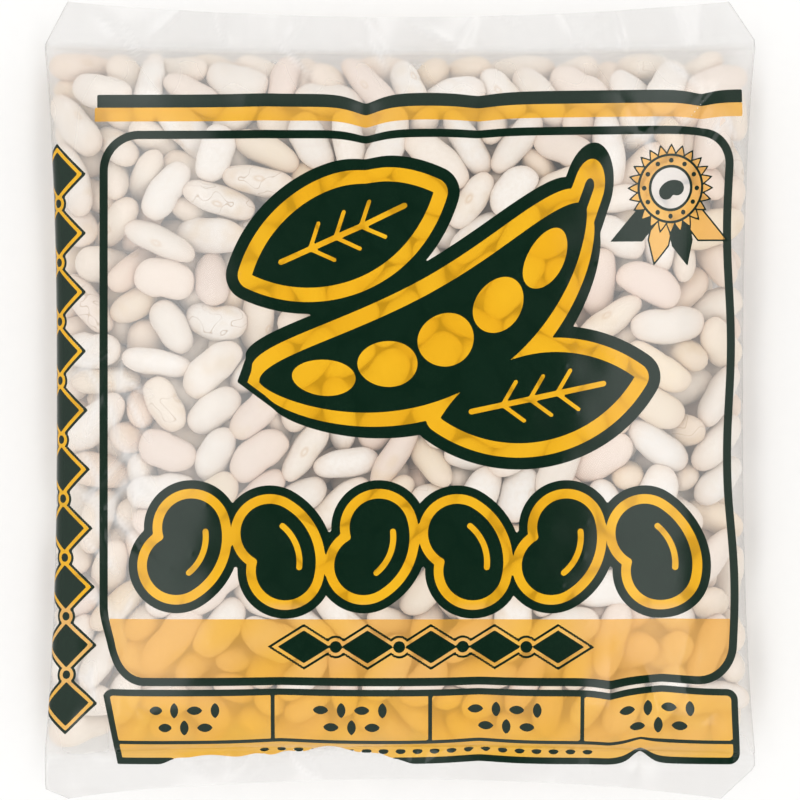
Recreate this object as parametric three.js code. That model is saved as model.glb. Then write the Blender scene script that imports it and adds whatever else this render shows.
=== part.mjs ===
// A bag of dried white beans: a pillow pack of clear film, sealed flat across both ends and lying on
// its back. It is one closed solid with the outer form of the film, which is drawn tight over the
// beans and so shows each of them as a bump. The underside lies flat on the ground.
// Millimetres, +Z up, the top seal towards +Y, the origin on the ground under the middle of the bag.

import * as THREE from 'three';

// ---- Driving dimensions ----

const FLAT_WIDTH = 180;       // the film tube pressed flat, as it is at the seals
const WAIST_WIDTH = 174;      // across the filled middle, which draws the sides in
const CORNER_LENGTH = 202;    // along Y, from corner to corner
const THICKNESS = 27;         // ground to the highest bean
const SIDE_HEIGHT = 12;       // where the sides reach furthest out
const SEAL_HEIGHT = 8.5;      // of the seal lines above the ground
const SEAL_LINE = 90;         // from the middle of the bag to a seal line, at the sides
const SEAL_BOW = 2;           // how much nearer the seal lines come at the middle
const FIN_THICKNESS = 0.7;    // of the two layers pressed together beyond a seal line
const FIN_DROOP = 3;          // how far a fin sinks from its seal line to its cut edge
const FIN_WAVE = 1.1;         // height of the waves in a fin
const FIN_WAVE_LENGTH = 62;

// The cut edges are drawn in at the middle too, and each corner is folded back by [across, along].
const ENDS = {
  top: { side: 1, middle: 97, left: [5.6, 11], right: [6.5, 10] },
  bottom: { side: -1, middle: 96, left: [6, 2.5], right: [8.6, 8] },
};

// Roundness of the outline and of the sections: 2 is an ellipse, more is boxier.
const WAIST_POWER = 2.5;
const SECTION_POWER = 2.5;
const END_POWER = 5;
const END_FULLNESS = 0.6;
const UNDER_SPREAD = 2.4;     // above 1, the underside lies flat on the ground

const BEAN = { length: 15.7, width: 8.8, spread: 0.12, count: 285 };
const BUMP_DEPTH = 2.3;       // from the crest of a bean to the film between beans
const BUMP_POWER = 1.35;      // 1 is a parabola, more is flatter on top with steeper sides
const SEAL_FADE = 6;          // the bumps die out over this length before a seal line
const GROUND_FADE = 7;        // and over this much of the film before it meets the ground

// ---- How finely the surface is divided ----

const TOP_STEPS = 50;         // across a seal line, on its top
const SIDE_STEPS = 2;         // round each side of a seal line, to the underside
const UNDER_STEPS = 8;
const LENGTH_STEPS = 54;
const FIN_STEPS = 3;
const SECTION_SAMPLES = 240;
const CREST_PLACES = [0, -0.3, 0.3];                    // shares of a bean's length
const BEAN_RINGS = [{ share: 1.04, points: 14 }, { share: 0.58, points: 8 }];
const CREST_GAP = 1.8;          // least distances between the points on the film
const RING_GAP = 2.2;
const FILL_GAP = 2.8;

// ---- Helpers ----

const HALF_WIDTH = FLAT_WIDTH / 2;
const HALF_LENGTH = CORNER_LENGTH / 2;
const { clamp, lerp, smoothstep } = THREE.MathUtils;

const steps = (count) => Array.from({ length: count + 1 }, (_, i) => i / count);

// A repeatable stream of numbers from 0 to 1.
function seededRandom(seed) {
  let state = seed;
  return () => {
    state = (state + 0x6d2b79f5) | 0;
    let mixed = Math.imul(state ^ (state >>> 15), 1 | state);
    mixed = (mixed + Math.imul(mixed ^ (mixed >>> 7), 61 | mixed)) ^ mixed;
    return ((mixed ^ (mixed >>> 14)) >>> 0) / 4294967296;
  };
}

// ---- The smooth bag ----

const halfWidthAt = (y) => {
  const drawnIn = (FLAT_WIDTH - WAIST_WIDTH) / 2;
  return HALF_WIDTH - drawnIn * (1 - Math.min(1, Math.abs(y) / SEAL_LINE) ** WAIST_POWER);
};
const bowed = (edge, middle, x) => lerp(middle, edge, (x / HALF_WIDTH) ** 2);
const sealLineAt = (x) => bowed(SEAL_LINE, SEAL_LINE - SEAL_BOW, x);

// The turn, from the side towards the middle of the underside, where the film reaches the ground.
const GROUND_TURN = Math.asin(UNDER_SPREAD ** (-SECTION_POWER / 2));

// A point of the section at r (-1 to 1 from seal to seal). A turn of pi is the left side, pi / 2 the
// middle of the top, 0 the right side, and beyond both sides the film turns under.
function sectionPoint(r, turn) {
  const rounded = (value) => Math.abs(value) ** (2 / SECTION_POWER);
  const taper = (1 - Math.abs(r) ** END_POWER) ** END_FULLNESS;
  const side = lerp(SEAL_HEIGHT, SIDE_HEIGHT, taper);
  const swell = taper * rounded(Math.sin(turn));
  const skin = FIN_THICKNESS / 2 * Math.min(1, Math.abs(Math.sin(turn)) / 0.1);
  const x = halfWidthAt(r * SEAL_LINE) * Math.sign(Math.cos(turn)) * rounded(Math.cos(turn));
  const rise = Math.max(skin, (THICKNESS - side) * swell);
  const drop = Math.max(skin, side * (1 - Math.max(0, 1 - UNDER_SPREAD * swell) ** 2));
  return new THREE.Vector3(x, r * sealLineAt(x), Math.sin(turn) > 1e-9 ? side + rise : side - drop);
}

// The film of one section unrolled from the ground on the left, over the top, to the ground on the
// right, as points with their distance along it.
function unrolledSection(r) {
  const points = steps(SECTION_SAMPLES).map((share) => {
    const turn = lerp(Math.PI + GROUND_TURN, -GROUND_TURN, share);
    return sectionPoint(r, turn);
  });
  const distances = [0];
  for (let i = 1; i < points.length; i++) {
    distances.push(distances[i - 1] + points[i].distanceTo(points[i - 1]));
  }
  return { points, distances, total: distances[distances.length - 1] };
}

const FILM_ROUND = unrolledSection(0).total;

// The point of the smooth bag at `across` and `along` on the unrolled film, both from its middle.
function filmPoint(across, along) {
  const { points, distances, total } = unrolledSection(clamp(along / SEAL_LINE, -1, 1));
  const at = clamp(across / FILM_ROUND + 0.5, 0, 1) * total;
  const i = clamp(distances.findIndex((distance) => distance >= at), 1, points.length - 1);
  const share = (at - distances[i - 1]) / (distances[i] - distances[i - 1]);
  return points[i - 1].clone().lerp(points[i], share);
}

function filmNormal(across, along) {
  const reach = 0.8;
  const round = filmPoint(across + reach, along).sub(filmPoint(across - reach, along));
  const ahead = filmPoint(across, along + reach).sub(filmPoint(across, along - reach));
  return round.cross(ahead).normalize();
}

// ---- Where the beans press on the film ----

// Beans on the unrolled film. Each is three discs in a row, and the discs of two beans push each
// other apart.
function layOutBeans() {
  const random = seededRandom(7);
  const vary = () => 1 + BEAN.spread * (2 * random() - 1);
  const [halfAcross, halfAlong] = [FILM_ROUND / 2 - GROUND_FADE / 2, SEAL_LINE - SEAL_FADE];
  const columns = Math.round(Math.sqrt((BEAN.count * halfAcross) / halfAlong));
  const rows = Math.ceil(BEAN.count / columns);
  const beans = Array.from({ length: BEAN.count }, (_, i) => ({
    across: (((i % columns) + random()) / columns * 2 - 1) * halfAcross,
    along: ((Math.floor(i / columns) + random()) / rows * 2 - 1) * halfAlong,
    angle: random() * Math.PI,
    length: BEAN.length * vary(),
    width: BEAN.width * vary(),
  }));
  for (let round = 0; round < 90; round++) {
    for (const bean of beans) {
      for (const other of beans) {
        const apart = Math.hypot(bean.across - other.across, bean.along - other.along);
        if (bean !== other && apart < BEAN.length * 1.2) {
          pushApart(bean, other);
        }
      }
      bean.across = clamp(bean.across, -halfAcross, halfAcross);
      bean.along = clamp(bean.along, -halfAlong, halfAlong);
    }
  }
  return beans;
}

// The point of the unrolled film at u and v in a bean's own axes, along it and across it.
function onBean(bean, u, v) {
  const [c, s] = [Math.cos(bean.angle), Math.sin(bean.angle)];
  return [bean.across + u * c - v * s, bean.along + u * s + v * c];
}

// Moves and turns a bean away from another by a share of what each pair of their discs overlaps.
function pushApart(bean, other) {
  const discs = (b) => [-1, 0, 1].map((place) => {
    const out = place * (b.length - b.width) / 2;
    return [...onBean(b, out, 0), out];
  });
  const reach = (bean.width + other.width) / 2;
  for (const [x, y, out] of discs(bean)) {
    for (const [otherX, otherY] of discs(other)) {
      const apart = Math.hypot(x - otherX, y - otherY) || 1e-6;
      const push = Math.max(0, reach - apart) / 4;
      const [pushX, pushY] = [push * (x - otherX) / apart, push * (y - otherY) / apart];
      bean.across += pushX;
      bean.along += pushY;
      const turn = out * (Math.cos(bean.angle) * pushY - Math.sin(bean.angle) * pushX);
      bean.angle += turn / (BEAN.length ** 2 / 6);
    }
  }
}

// How far the film stands out at a point of the unrolled film: 1 on a bean's crest, 0 between beans.
function bumpAt(beans, across, along) {
  let highest = 0;
  for (const bean of beans) {
    const [dx, dy] = [across - bean.across, along - bean.along];
    const [c, s] = [Math.cos(bean.angle), Math.sin(bean.angle)];
    const u = (dx * c + dy * s) / (bean.length / 2);
    const v = (dy * c - dx * s) / (bean.width / 2);
    highest = Math.max(highest, 1 - (u * u + v * v) ** BUMP_POWER);
  }
  return highest;
}

// ---- Points on the unrolled film, closest where they draw the beans ----

// Places on the two seal lines: from the underside round the left side, over the top and back under.
function sealPlaces() {
  const { distances, total } = unrolledSection(1);
  const sideSample = SECTION_SAMPLES * GROUND_TURN / (Math.PI + 2 * GROUND_TURN);
  const sideShare = distances[Math.round(sideSample)] / total;
  const shares = [
    ...steps(SIDE_STEPS).slice(0, -1).map((step) => step * sideShare),
    ...steps(TOP_STEPS).map((step) => lerp(sideShare, 1 - sideShare, step)),
    ...steps(SIDE_STEPS).slice(1).map((step) => lerp(1 - sideShare, 1, step)),
  ];
  return shares.map((share) => (share - 0.5) * FILM_ROUND);
}

function filmPlaces(beans) {
  const [halfRound, halfAlong] = [FILM_ROUND / 2, SEAL_LINE];
  const lengthwise = steps(LENGTH_STEPS).map((step) => lerp(-halfAlong, halfAlong, step));
  const across = sealPlaces();
  const border = {
    bottom: across.map((u) => [u, -halfAlong]),
    top: across.map((u) => [u, halfAlong]),
    left: lengthwise.slice(1, -1).map((v) => [-halfRound, v]),
    right: lengthwise.slice(1, -1).map((v) => [halfRound, v]),
  };
  const places = [...border.bottom, ...border.top, ...border.left, ...border.right];
  const add = ([u, v], gap) => {
    const inside = Math.abs(u) < halfRound - gap / 2 && Math.abs(v) < halfAlong - gap / 2;
    if (inside && places.every(([x, y]) => Math.hypot(u - x, v - y) >= gap)) {
      places.push([u, v]);
    }
  };
  for (const bean of beans) {
    CREST_PLACES.forEach((share) => add(onBean(bean, share * bean.length, 0), CREST_GAP));
  }
  for (const { share, points } of BEAN_RINGS) {
    for (const bean of beans) {
      for (let i = 0; i < points; i++) {
        const turn = (2 * Math.PI * (i + 0.5)) / points;
        const u = share * bean.length / 2 * Math.cos(turn);
        const v = share * bean.width / 2 * Math.sin(turn);
        add(onBean(bean, u, v), RING_GAP);
      }
    }
  }
  for (let v = -halfAlong; v < halfAlong; v += FILL_GAP / 2) {
    for (let u = -halfRound; u < halfRound; u += FILL_GAP / 2) {
      add([u, v], FILL_GAP);
    }
  }
  return places;
}

// Delaunay triangles of flat points, counter-clockwise: each new point replaces the triangles whose
// circles hold it.
function triangulate(places) {
  const far = 50 * FILM_ROUND;
  const all = [...places, [-far, -far], [far, -far], [0, far]];
  const circled = (a, b, c) => {
    const [[ax, ay], [bx, by], [cx, cy]] = [all[a], all[b], all[c]];
    const [px, py, qx, qy] = [bx - ax, by - ay, cx - ax, cy - ay];
    const twice = 2 * (px * qy - py * qx);
    const x = (qy * (px * px + py * py) - py * (qx * qx + qy * qy)) / twice;
    const y = (px * (qx * qx + qy * qy) - qx * (px * px + py * py)) / twice;
    return { corners: [a, b, c], x: ax + x, y: ay + y, squared: x * x + y * y };
  };
  let triangles = [circled(places.length, places.length + 1, places.length + 2)];
  places.forEach(([x, y], place) => {
    const edges = new Map();
    triangles = triangles.filter((triangle) => {
      if ((triangle.x - x) ** 2 + (triangle.y - y) ** 2 >= triangle.squared) {
        return true;
      }
      triangle.corners.forEach((from, i) => {
        const to = triangle.corners[(i + 1) % 3];
        if (!edges.delete(`${to} ${from}`)) {
          edges.set(`${from} ${to}`, [from, to]);
        }
      });
      return false;
    });
    edges.forEach(([from, to]) => triangles.push(circled(from, to, place)));
  });
  return triangles.map((t) => t.corners).filter((corners) => Math.max(...corners) < places.length);
}

// ---- The fins ----

// The point of a fin at w, from 0 on the seal line to 1 on the cut edge, beyond a point of that line.
function finPoint(end, w, sealPoint) {
  const flat = sealPoint.x;
  const y = lerp(sealLineAt(flat), bowed(HALF_LENGTH, end.middle, flat), w);
  const [foldAcross, foldAlong] = flat < 0 ? end.left : end.right;
  const folded = foldAcross * clamp((y - HALF_LENGTH + foldAlong) / foldAlong, 0, 1);
  const wave = FIN_WAVE * Math.sin((2 * Math.PI * flat) / FIN_WAVE_LENGTH + end.side);
  const z = sealPoint.z + w * (wave - FIN_DROOP);
  return new THREE.Vector3(flat * (1 - folded / HALF_WIDTH), end.side * y, z);
}

// ---- One closed mesh ----

function bagGeometry() {
  const vertices = [];
  const triangles = [];
  const addVertex = (point) => vertices.push(point) - 1;
  const addQuad = (a, b, c, d) => triangles.push(a, b, c, a, c, d);

  // The film over the beans.
  const beans = layOutBeans();
  const places = filmPlaces(beans);
  for (const [across, along] of places) {
    const toSeal = smoothstep(SEAL_LINE - Math.abs(along), 0, SEAL_FADE);
    const toGround = smoothstep(FILM_ROUND / 2 - Math.abs(across), 0, GROUND_FADE);
    const sunk = BUMP_DEPTH * toSeal * toGround * (1 - bumpAt(beans, across, along));
    addVertex(filmPoint(across, along).addScaledVector(filmNormal(across, along), -sunk));
  }
  triangles.push(...triangulate(places).flat());

  // The underside, between the two lines where the film turns under.
  const sealCount = sealPlaces().length;
  const sideCount = LENGTH_STEPS - 1;
  const leftOf = (row) => 2 * sealCount + row - 1;
  const rows = steps(LENGTH_STEPS).map((step, row) => {
    const ends = row === 0 ? [0, sealCount - 1] : [sealCount, 2 * sealCount - 1];
    const isEnd = row === 0 || row === LENGTH_STEPS;
    const [left, right] = isEnd ? ends : [leftOf(row), leftOf(row) + sideCount];
    const r = 2 * step - 1;
    const inner = steps(UNDER_STEPS).slice(1, -1).map((share) => {
      const x = lerp(vertices[left].x, vertices[right].x, share);
      const reach = Math.abs(x) / halfWidthAt(r * SEAL_LINE);
      const turn = Math.acos(reach ** (SECTION_POWER / 2));
      const point = sectionPoint(r, -turn);
      return addVertex(new THREE.Vector3(x, r * sealLineAt(x), point.z));
    });
    return [left, ...inner, right];
  });
  for (let row = 0; row < LENGTH_STEPS; row++) {
    for (let i = 0; i < UNDER_STEPS; i++) {
      addQuad(rows[row][i], rows[row + 1][i], rows[row + 1][i + 1], rows[row][i + 1]);
    }
  }

  // The fins: rings round each seal line carried outwards, then a cap over the thin cut edge.
  for (const end of [ENDS.bottom, ENDS.top]) {
    const isTop = end === ENDS.top;
    const over = Array.from({ length: sealCount }, (_, i) => (isTop ? sealCount : 0) + i);
    const under = rows[isTop ? LENGTH_STEPS : 0].slice(1, -1).reverse();
    const sealRing = [...over, ...under];
    let ring = sealRing;
    for (const w of steps(FIN_STEPS).slice(1)) {
      const next = sealRing.map((index) => addVertex(finPoint(end, w, vertices[index])));
      ring.forEach((index, i) => {
        const j = (i + 1) % ring.length;
        const corners = [index, ring[j], next[j], next[i]];
        addQuad(...(isTop ? corners : corners.reverse()));
      });
      ring = next;
    }
    const topLine = ring.slice(SIDE_STEPS, SIDE_STEPS + TOP_STEPS + 1);
    const underLine = [...ring.slice(SIDE_STEPS + TOP_STEPS), ...ring.slice(0, SIDE_STEPS + 1)];
    triangles.push(...zip(vertices, topLine, underLine.reverse(), isTop));
  }

  const geometry = new THREE.BufferGeometry().setFromPoints(vertices);
  geometry.setIndex(triangles);
  geometry.computeVertexNormals();
  return geometry;
}

// Triangles between two lines of vertices that run side by side from left to right and share both
// end vertices.
function zip(vertices, topLine, underLine, facesAhead) {
  const triangles = [];
  let [i, j] = [0, 0];
  while (i < topLine.length - 1 || j < underLine.length - 1) {
    const topNext = vertices[topLine[i + 1]]?.x ?? Infinity;
    const underNext = vertices[underLine[j + 1]]?.x ?? Infinity;
    const [a, b] = [topLine[i], underLine[j]];
    const c = topNext <= underNext ? topLine[++i] : underLine[++j];
    if (a !== b && b !== c && a !== c) {
      triangles.push(...(facesAhead ? [a, c, b] : [a, b, c]));
    }
  }
  return triangles;
}

// ---- The object ----

const bag = new THREE.Mesh(
  bagGeometry(),
  new THREE.MeshStandardMaterial({ color: 0xece3d6, roughness: 0.35, metalness: 0 }),
);
bag.name = 'bag';

const group = new THREE.Group();
group.add(bag);

export default group;
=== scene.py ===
"""A bag of dried white beans: loose beans packed in a tube of clear film with flat sealed ends.

The beans grow inside the smooth bag until they press against each other and its walls. The film is
then drawn tight over them. The printing is a thin layer of ink just over the face of the film.
Lengths are in millimetres, in the frame's axes, and become metres where a mesh is made. Those of
the floor and the lights are in metres.
"""

import math

import bpy
import numpy as np
from mathutils.bvhtree import BVHTree
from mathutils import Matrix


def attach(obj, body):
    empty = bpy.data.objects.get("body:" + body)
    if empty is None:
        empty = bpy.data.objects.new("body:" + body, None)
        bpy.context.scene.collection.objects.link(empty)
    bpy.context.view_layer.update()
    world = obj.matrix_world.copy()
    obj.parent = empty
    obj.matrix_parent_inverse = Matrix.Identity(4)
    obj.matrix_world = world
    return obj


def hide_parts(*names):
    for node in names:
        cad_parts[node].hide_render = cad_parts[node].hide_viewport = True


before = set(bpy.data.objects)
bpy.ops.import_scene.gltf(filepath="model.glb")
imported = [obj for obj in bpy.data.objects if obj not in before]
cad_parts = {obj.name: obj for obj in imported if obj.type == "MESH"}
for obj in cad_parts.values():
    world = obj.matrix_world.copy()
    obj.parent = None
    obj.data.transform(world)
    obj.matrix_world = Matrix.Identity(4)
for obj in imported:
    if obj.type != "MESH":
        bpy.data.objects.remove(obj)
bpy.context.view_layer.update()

MM = 0.001
TINY = 1e-9               # keeps a division by zero away
TINY_TURN = 1e-12
RANDOM = np.random.default_rng(5)

# ---- The smooth bag, as in the CAD ----

FLAT_WIDTH = 180.0        # the film tube pressed flat, as it is at the seals
WAIST_WIDTH = 174.0       # across the filled middle
CORNER_LENGTH = 202.0     # along Y, from corner to corner
THICKNESS = 27.0
SIDE_HEIGHT = 12.0        # where the sides reach furthest out
SEAL_HEIGHT = 8.5
SEAL_LINE = 90.0          # from the middle of the bag to a seal line, at the sides
SEAL_BOW = 2.0
FIN_SKIN = 0.15           # half the thickness of the two layers sealed together
FIN_DROOP = 3.0
FIN_WAVE = 1.1
FIN_WAVE_LENGTH = 62.0
# How far out each end is in its middle, and how far across and along its corners are folded in.
ENDS = {
    "top": {"side": 1, "middle": 97.0, "left": (5.6, 11.0), "right": (6.5, 10.0)},
    "bottom": {"side": -1, "middle": 96.0, "left": (6.0, 2.5), "right": (8.6, 8.0)},
}
WAIST_POWER = 2.5
SECTION_POWER = 2.5
END_POWER = 5
END_FULLNESS = 0.6
UNDER_SPREAD = 2.4
OVER_SAMPLES = 600        # points that a section's outline is measured with, over the top
UNDER_SAMPLES = 300
GROUND_TURN = math.asin(UNDER_SPREAD ** (-SECTION_POWER / 2))

HALF_WIDTH = FLAT_WIDTH / 2
HALF_LENGTH = CORNER_LENGTH / 2

# ---- The beans ----

BEAN_COUNT = 620          # at least this many
BEAN_LENGTH = 17.6
BEAN_WIDTH = 9.3
BEAN_THICKNESS = 7.4
BEAN_ROUNDNESS = 2.5      # of the outline: 2 is an ellipse, more is fuller
LENGTH_SPREAD = 0.1
GIRTH_SPREAD = 0.06
SPREAD_LIMIT = 1.6        # times the spread, either way
TAPER_RANGE = (-0.1, 0.1)
FLATNESS_RANGE = (0.94, 1.04)
BEND_RANGE = (0.2, 1.1)   # how far a bean's ends are bent over to the side of its eye
BEND_MIDDLE = 0.35        # the share of the bend by which its middle moves the other way
LUMPS = {"height": 0.03, "turns": 2.2}
EYE_DENT = {"depth": 0.35, "length": 0.16, "power": 3}
BALL_PLACES = (-0.58, -0.2, 0.2, 0.58)
LAYER_HEIGHTS = (5.0, 13.0, 21.0)
START_SPACINGS = np.arange(14.0, 7.0, -0.1)
START_SHIFT = 1.0
TOP_LAYER = {"depth": 6.5, "height": 11.0}     # how deep its beans lie at most, and how low
FINE_BEAN, COARSE_BEAN = 20, 14        # steps along a bean's mesh, and round it
BEAN_TINTS = {"cream": (0.80, 0.70, 0.60), "warm": (0.79, 0.64, 0.45),
              "pink": (0.80, 0.64, 0.55), "white": (0.84, 0.79, 0.735)}
WARM_UP_TO, PINK_UP_TO = 0.16, 0.42    # the rest are white
TINT_SHARE = (0.2, 1.0)
TINT_LIGHT = (0.93, 1.02)
# Colour factors of the beans: none for the top layer, painted shade for those under it.
FULL_LIGHT = (1.0, 1.0, 1.0)
PAINTED_SHADE_BELOW = (0.98, 0.93, 0.86)              # painted shade: the colours of the beans under the top layer, darker and warmer as they lie in shade
FILM_GAP = 0.15           # from the film to what presses on it
WALL_GAP = 0.3            # from the smooth bag to the beans nearest to it
WALL_ROUNDS = 3           # of moving beans in from the wall
WALL_ROW_STEP, WALL_COLUMN_STEP = 3, 2      # the film's rings and points that the wall is made of

# ---- The film ----

FILM_STEP = 0.9           # between the mesh's points on the top and the sides
UNDER_STEPS = 50
FIN_ROWS = 9
STRETCH_ROUNDS = 260      # of drawing the film tight
STIFF_ROUNDS = 60         # of evening it out
LIFT_ROUNDS = (4, 24)     # of spreading and evening out its lifts
RAY_REACH = (4.0, 9.0)    # how far over and under the smooth bag a bean is looked for
SAG = 0.0012              # how far the film dips between its neighbours in a round
INK_HEIGHT = 0.05         # of the ink over the film it is printed on

# ---- The camera ----

VIEW_WIDTH = 202.25       # what the photograph's frame spans, at the height of the bag's sides
CAMERA_HEIGHT = 3000.0
SENSOR = 36.0
FARTHEST_SEEN = 20.0      # metres


# ======== Shapes and meshes ========

def new_piece(name, points, faces, material):
    """A mesh object from points (n, 3) in millimetres and a list of arrays of faces."""
    mesh = bpy.data.meshes.new(name)
    mesh.vertices.add(len(points))
    mesh.vertices.foreach_set("co", (np.asarray(points) * MM).astype(np.float32).ravel())
    corners = np.concatenate([group.ravel() for group in faces])
    sizes = np.concatenate([np.full(len(group), group.shape[1]) for group in faces])
    mesh.loops.add(len(corners))
    mesh.loops.foreach_set("vertex_index", corners.astype(np.int32))
    mesh.polygons.add(len(sizes))
    starts = np.concatenate([[0], np.cumsum(sizes)[:-1]])
    mesh.polygons.foreach_set("loop_start", starts.astype(np.int32))
    mesh.polygons.foreach_set("use_smooth", np.ones(len(sizes), dtype=bool))
    mesh.update(calc_edges=True)
    mesh.validate()
    piece = bpy.data.objects.new(name, mesh)
    bpy.context.scene.collection.objects.link(piece)
    mesh.materials.append(material)
    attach(piece, "root")
    return piece


def let_light_through(piece):
    """Keeps thin film and ink out of the way of the light that reaches the beans."""
    piece.visible_shadow = False
    piece.visible_diffuse = False


ATTRIBUTE_FIELDS = {"FLOAT_COLOR": "color", "FLOAT_VECTOR": "vector", "FLOAT": "value"}


def add_attribute(piece, name, kind, values):
    """A named value on every point of a piece, for its material."""
    attribute = piece.data.attributes.new(name, kind, "POINT")
    flat = np.asarray(values, dtype=np.float32).ravel()
    attribute.data.foreach_set(ATTRIBUTE_FIELDS[kind], flat)


def grid_faces(rows, columns, closed):
    """Quads of a grid of points, row after row. A closed grid joins its last column to its first."""
    row = np.arange(rows - 1)[:, None]
    column = np.arange(columns if closed else columns - 1)[None, :]
    after = (column + 1) % columns
    corners = (row * columns + column, row * columns + after)
    beyond = ((row + 1) * columns + after, (row + 1) * columns + column)
    return np.stack([*corners, *beyond], axis=-1).reshape(-1, 4)


def smooth_step(value, low, high):
    share = np.clip((value - low) / (high - low), 0, 1)
    return share * share * (3 - 2 * share)


def centred(count):
    """That many places in steps of one, with zero in their middle."""
    return np.arange(count) - (count - 1) / 2


def turned(x, y, middle, degrees):
    """The point in axes at a middle that are turned by an angle."""
    angle = math.radians(degrees)
    dx, dy = x - middle[0], y - middle[1]
    along = dx * math.cos(angle) + dy * math.sin(angle)
    return along, dy * math.cos(angle) - dx * math.sin(angle)


# ======== The smooth bag ========

def half_width_at(y):
    drawn_in = (FLAT_WIDTH - WAIST_WIDTH) / 2
    return HALF_WIDTH - drawn_in * (1 - np.minimum(1, np.abs(y) / SEAL_LINE) ** WAIST_POWER)


def bowed(edge, middle, x):
    return middle + (edge - middle) * (x / HALF_WIDTH) ** 2


def section_points(r, turn):
    """Points of the section at r, -1 to 1 from seal to seal. A turn of pi is the left side, half pi
    the middle of the top, 0 the right side."""
    def rounded(value):
        return np.abs(value) ** (2 / SECTION_POWER)

    taper = (1 - abs(r) ** END_POWER) ** END_FULLNESS
    side = SEAL_HEIGHT + (SIDE_HEIGHT - SEAL_HEIGHT) * taper
    swell = taper * rounded(np.sin(turn))
    x = half_width_at(r * SEAL_LINE) * np.sign(np.cos(turn)) * rounded(np.cos(turn))
    rise = np.maximum(FIN_SKIN, (THICKNESS - side) * swell)
    drop = np.maximum(FIN_SKIN, side * (1 - np.maximum(0, 1 - UNDER_SPREAD * swell) ** 2))
    z = np.where(np.sin(turn) > 0, side + rise, side - drop)
    return np.stack([x, r * bowed(SEAL_LINE, SEAL_LINE - SEAL_BOW, x), z], axis=-1)


def spread_evenly(line, count):
    """The points that divide a line of points into equal lengths, and its whole length."""
    lengths = np.linalg.norm(np.diff(line, axis=0), axis=1)
    along = np.concatenate([[0], np.cumsum(lengths)])
    at = np.linspace(0, along[-1], count)
    return np.stack([np.interp(at, along, line[:, axis]) for axis in range(3)], axis=-1), along[-1]


def section_over(r):
    """The section's outline over the top, from the ground on the left to that on the right."""
    return section_points(r, np.linspace(math.pi + GROUND_TURN, -GROUND_TURN, OVER_SAMPLES))


def film_ring(r, top_columns):
    """One closed ring of film: from the ground on the left over the top to the ground on the
    right, then back along the underside."""
    under = section_points(r, np.linspace(-GROUND_TURN, GROUND_TURN - math.pi, UNDER_SAMPLES))
    top, _ = spread_evenly(section_over(r), top_columns)
    bottom, _ = spread_evenly(under, UNDER_STEPS + 1)
    return np.concatenate([top, bottom[1:-1]])


def fin_ring(end, w, seal_ring):
    """The ring of a fin at w, from 0 on the seal line to 1 on the cut edge."""
    flat, height = seal_ring[:, 0], seal_ring[:, 2]
    seal = bowed(SEAL_LINE, SEAL_LINE - SEAL_BOW, flat)
    y = seal + w * (bowed(HALF_LENGTH, end["middle"], flat) - seal)
    across, along = (np.where(flat < 0, *pair) for pair in zip(end["left"], end["right"]))
    folded = across * np.clip((y - HALF_LENGTH + along) / along, 0, 1)
    wave = FIN_WAVE * np.sin(2 * math.pi * flat / FIN_WAVE_LENGTH + end["side"])
    z = height + w * (wave - FIN_DROOP)
    return np.stack([flat * (1 - folded / HALF_WIDTH), end["side"] * y, z], axis=-1)


def smooth_film():
    """The rings of the whole film from the bottom cut edge to the top one (rows, columns, 3), the
    number of columns on the top, and the rows between the seals."""
    _, over_top = spread_evenly(section_over(0), 2)
    top_columns = round(over_top / FILM_STEP)
    body_rows = round(2 * SEAL_LINE / FILM_STEP)
    body = [film_ring(r, top_columns) for r in np.linspace(-1, 1, body_rows)]
    steps = np.arange(1, FIN_ROWS + 1) / FIN_ROWS
    bottom = [fin_ring(ENDS["bottom"], w, body[0]) for w in steps[::-1]]
    top = [fin_ring(ENDS["top"], w, body[-1]) for w in steps]
    return np.array(bottom + body + top), top_columns, slice(FIN_ROWS, FIN_ROWS + body_rows)


def grid_normals(points):
    """Unit normals of a grid of points (rows, columns, 3), from its neighbours."""
    along = np.gradient(points, axis=0)
    across = np.gradient(points, axis=1)
    normals = np.cross(across, along)
    return normals / (np.linalg.norm(normals, axis=2, keepdims=True) + TINY)


# ======== Packing the beans ========

class Container:
    """How deep a point lies inside the smooth bag, read from a grid of distances to its wall."""

    PITCH = 2.0
    MARGIN = 4.0
    LAST_CELL = 1.001         # how far from the end of the grid the last place is that it blends

    def __init__(self, rings):
        rows, columns, _ = rings.shape
        ends = [list(range(columns))[::-1], [(rows - 1) * columns + i for i in range(columns)]]
        faces = grid_faces(rows, columns, True).tolist() + ends
        wall = BVHTree.FromPolygons(rings.reshape(-1, 3).tolist(), faces)
        self.low = rings.min(axis=(0, 1)) - self.MARGIN
        high = rings.max(axis=(0, 1)) + self.MARGIN
        self.shape = np.ceil((high - self.low) / self.PITCH).astype(int) + 1
        depths = []
        for index in np.ndindex(*self.shape):
            point = self.low + np.array(index) * self.PITCH
            nearest, normal, _, distance = wall.find_nearest(point)
            outside = normal.dot(nearest - type(nearest)(point)) < 0
            depths.append(-distance if outside else distance)
        self.depths = np.array(depths).reshape(self.shape)
        self.slopes = np.stack(np.gradient(self.depths), axis=-1)

    def read(self, grid, points):
        """The grid's values at the points, each blended from the eight places around it."""
        place = np.clip((points - self.low) / self.PITCH, 0, self.shape - self.LAST_CELL)
        base = place.astype(int)
        share = place - base
        total = 0
        for corner in np.ndindex(2, 2, 2):
            weight = np.prod(np.where(corner, share, 1 - share), axis=-1)
            value = grid[tuple((base + corner).T)]
            total = total + (weight * value.T).T
        return total

    def depth(self, points):
        return self.read(self.depths, points)

    def inward(self, points):
        slopes = self.read(self.slopes, points)
        return slopes / (np.linalg.norm(slopes, axis=1, keepdims=True) + TINY)


def girth_share(along):
    """A bean's girth at a place from -1 to 1 along it, as a share of its girth in the middle."""
    return (1 - np.abs(along) ** BEAN_ROUNDNESS) ** (1 / BEAN_ROUNDNESS)


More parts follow.
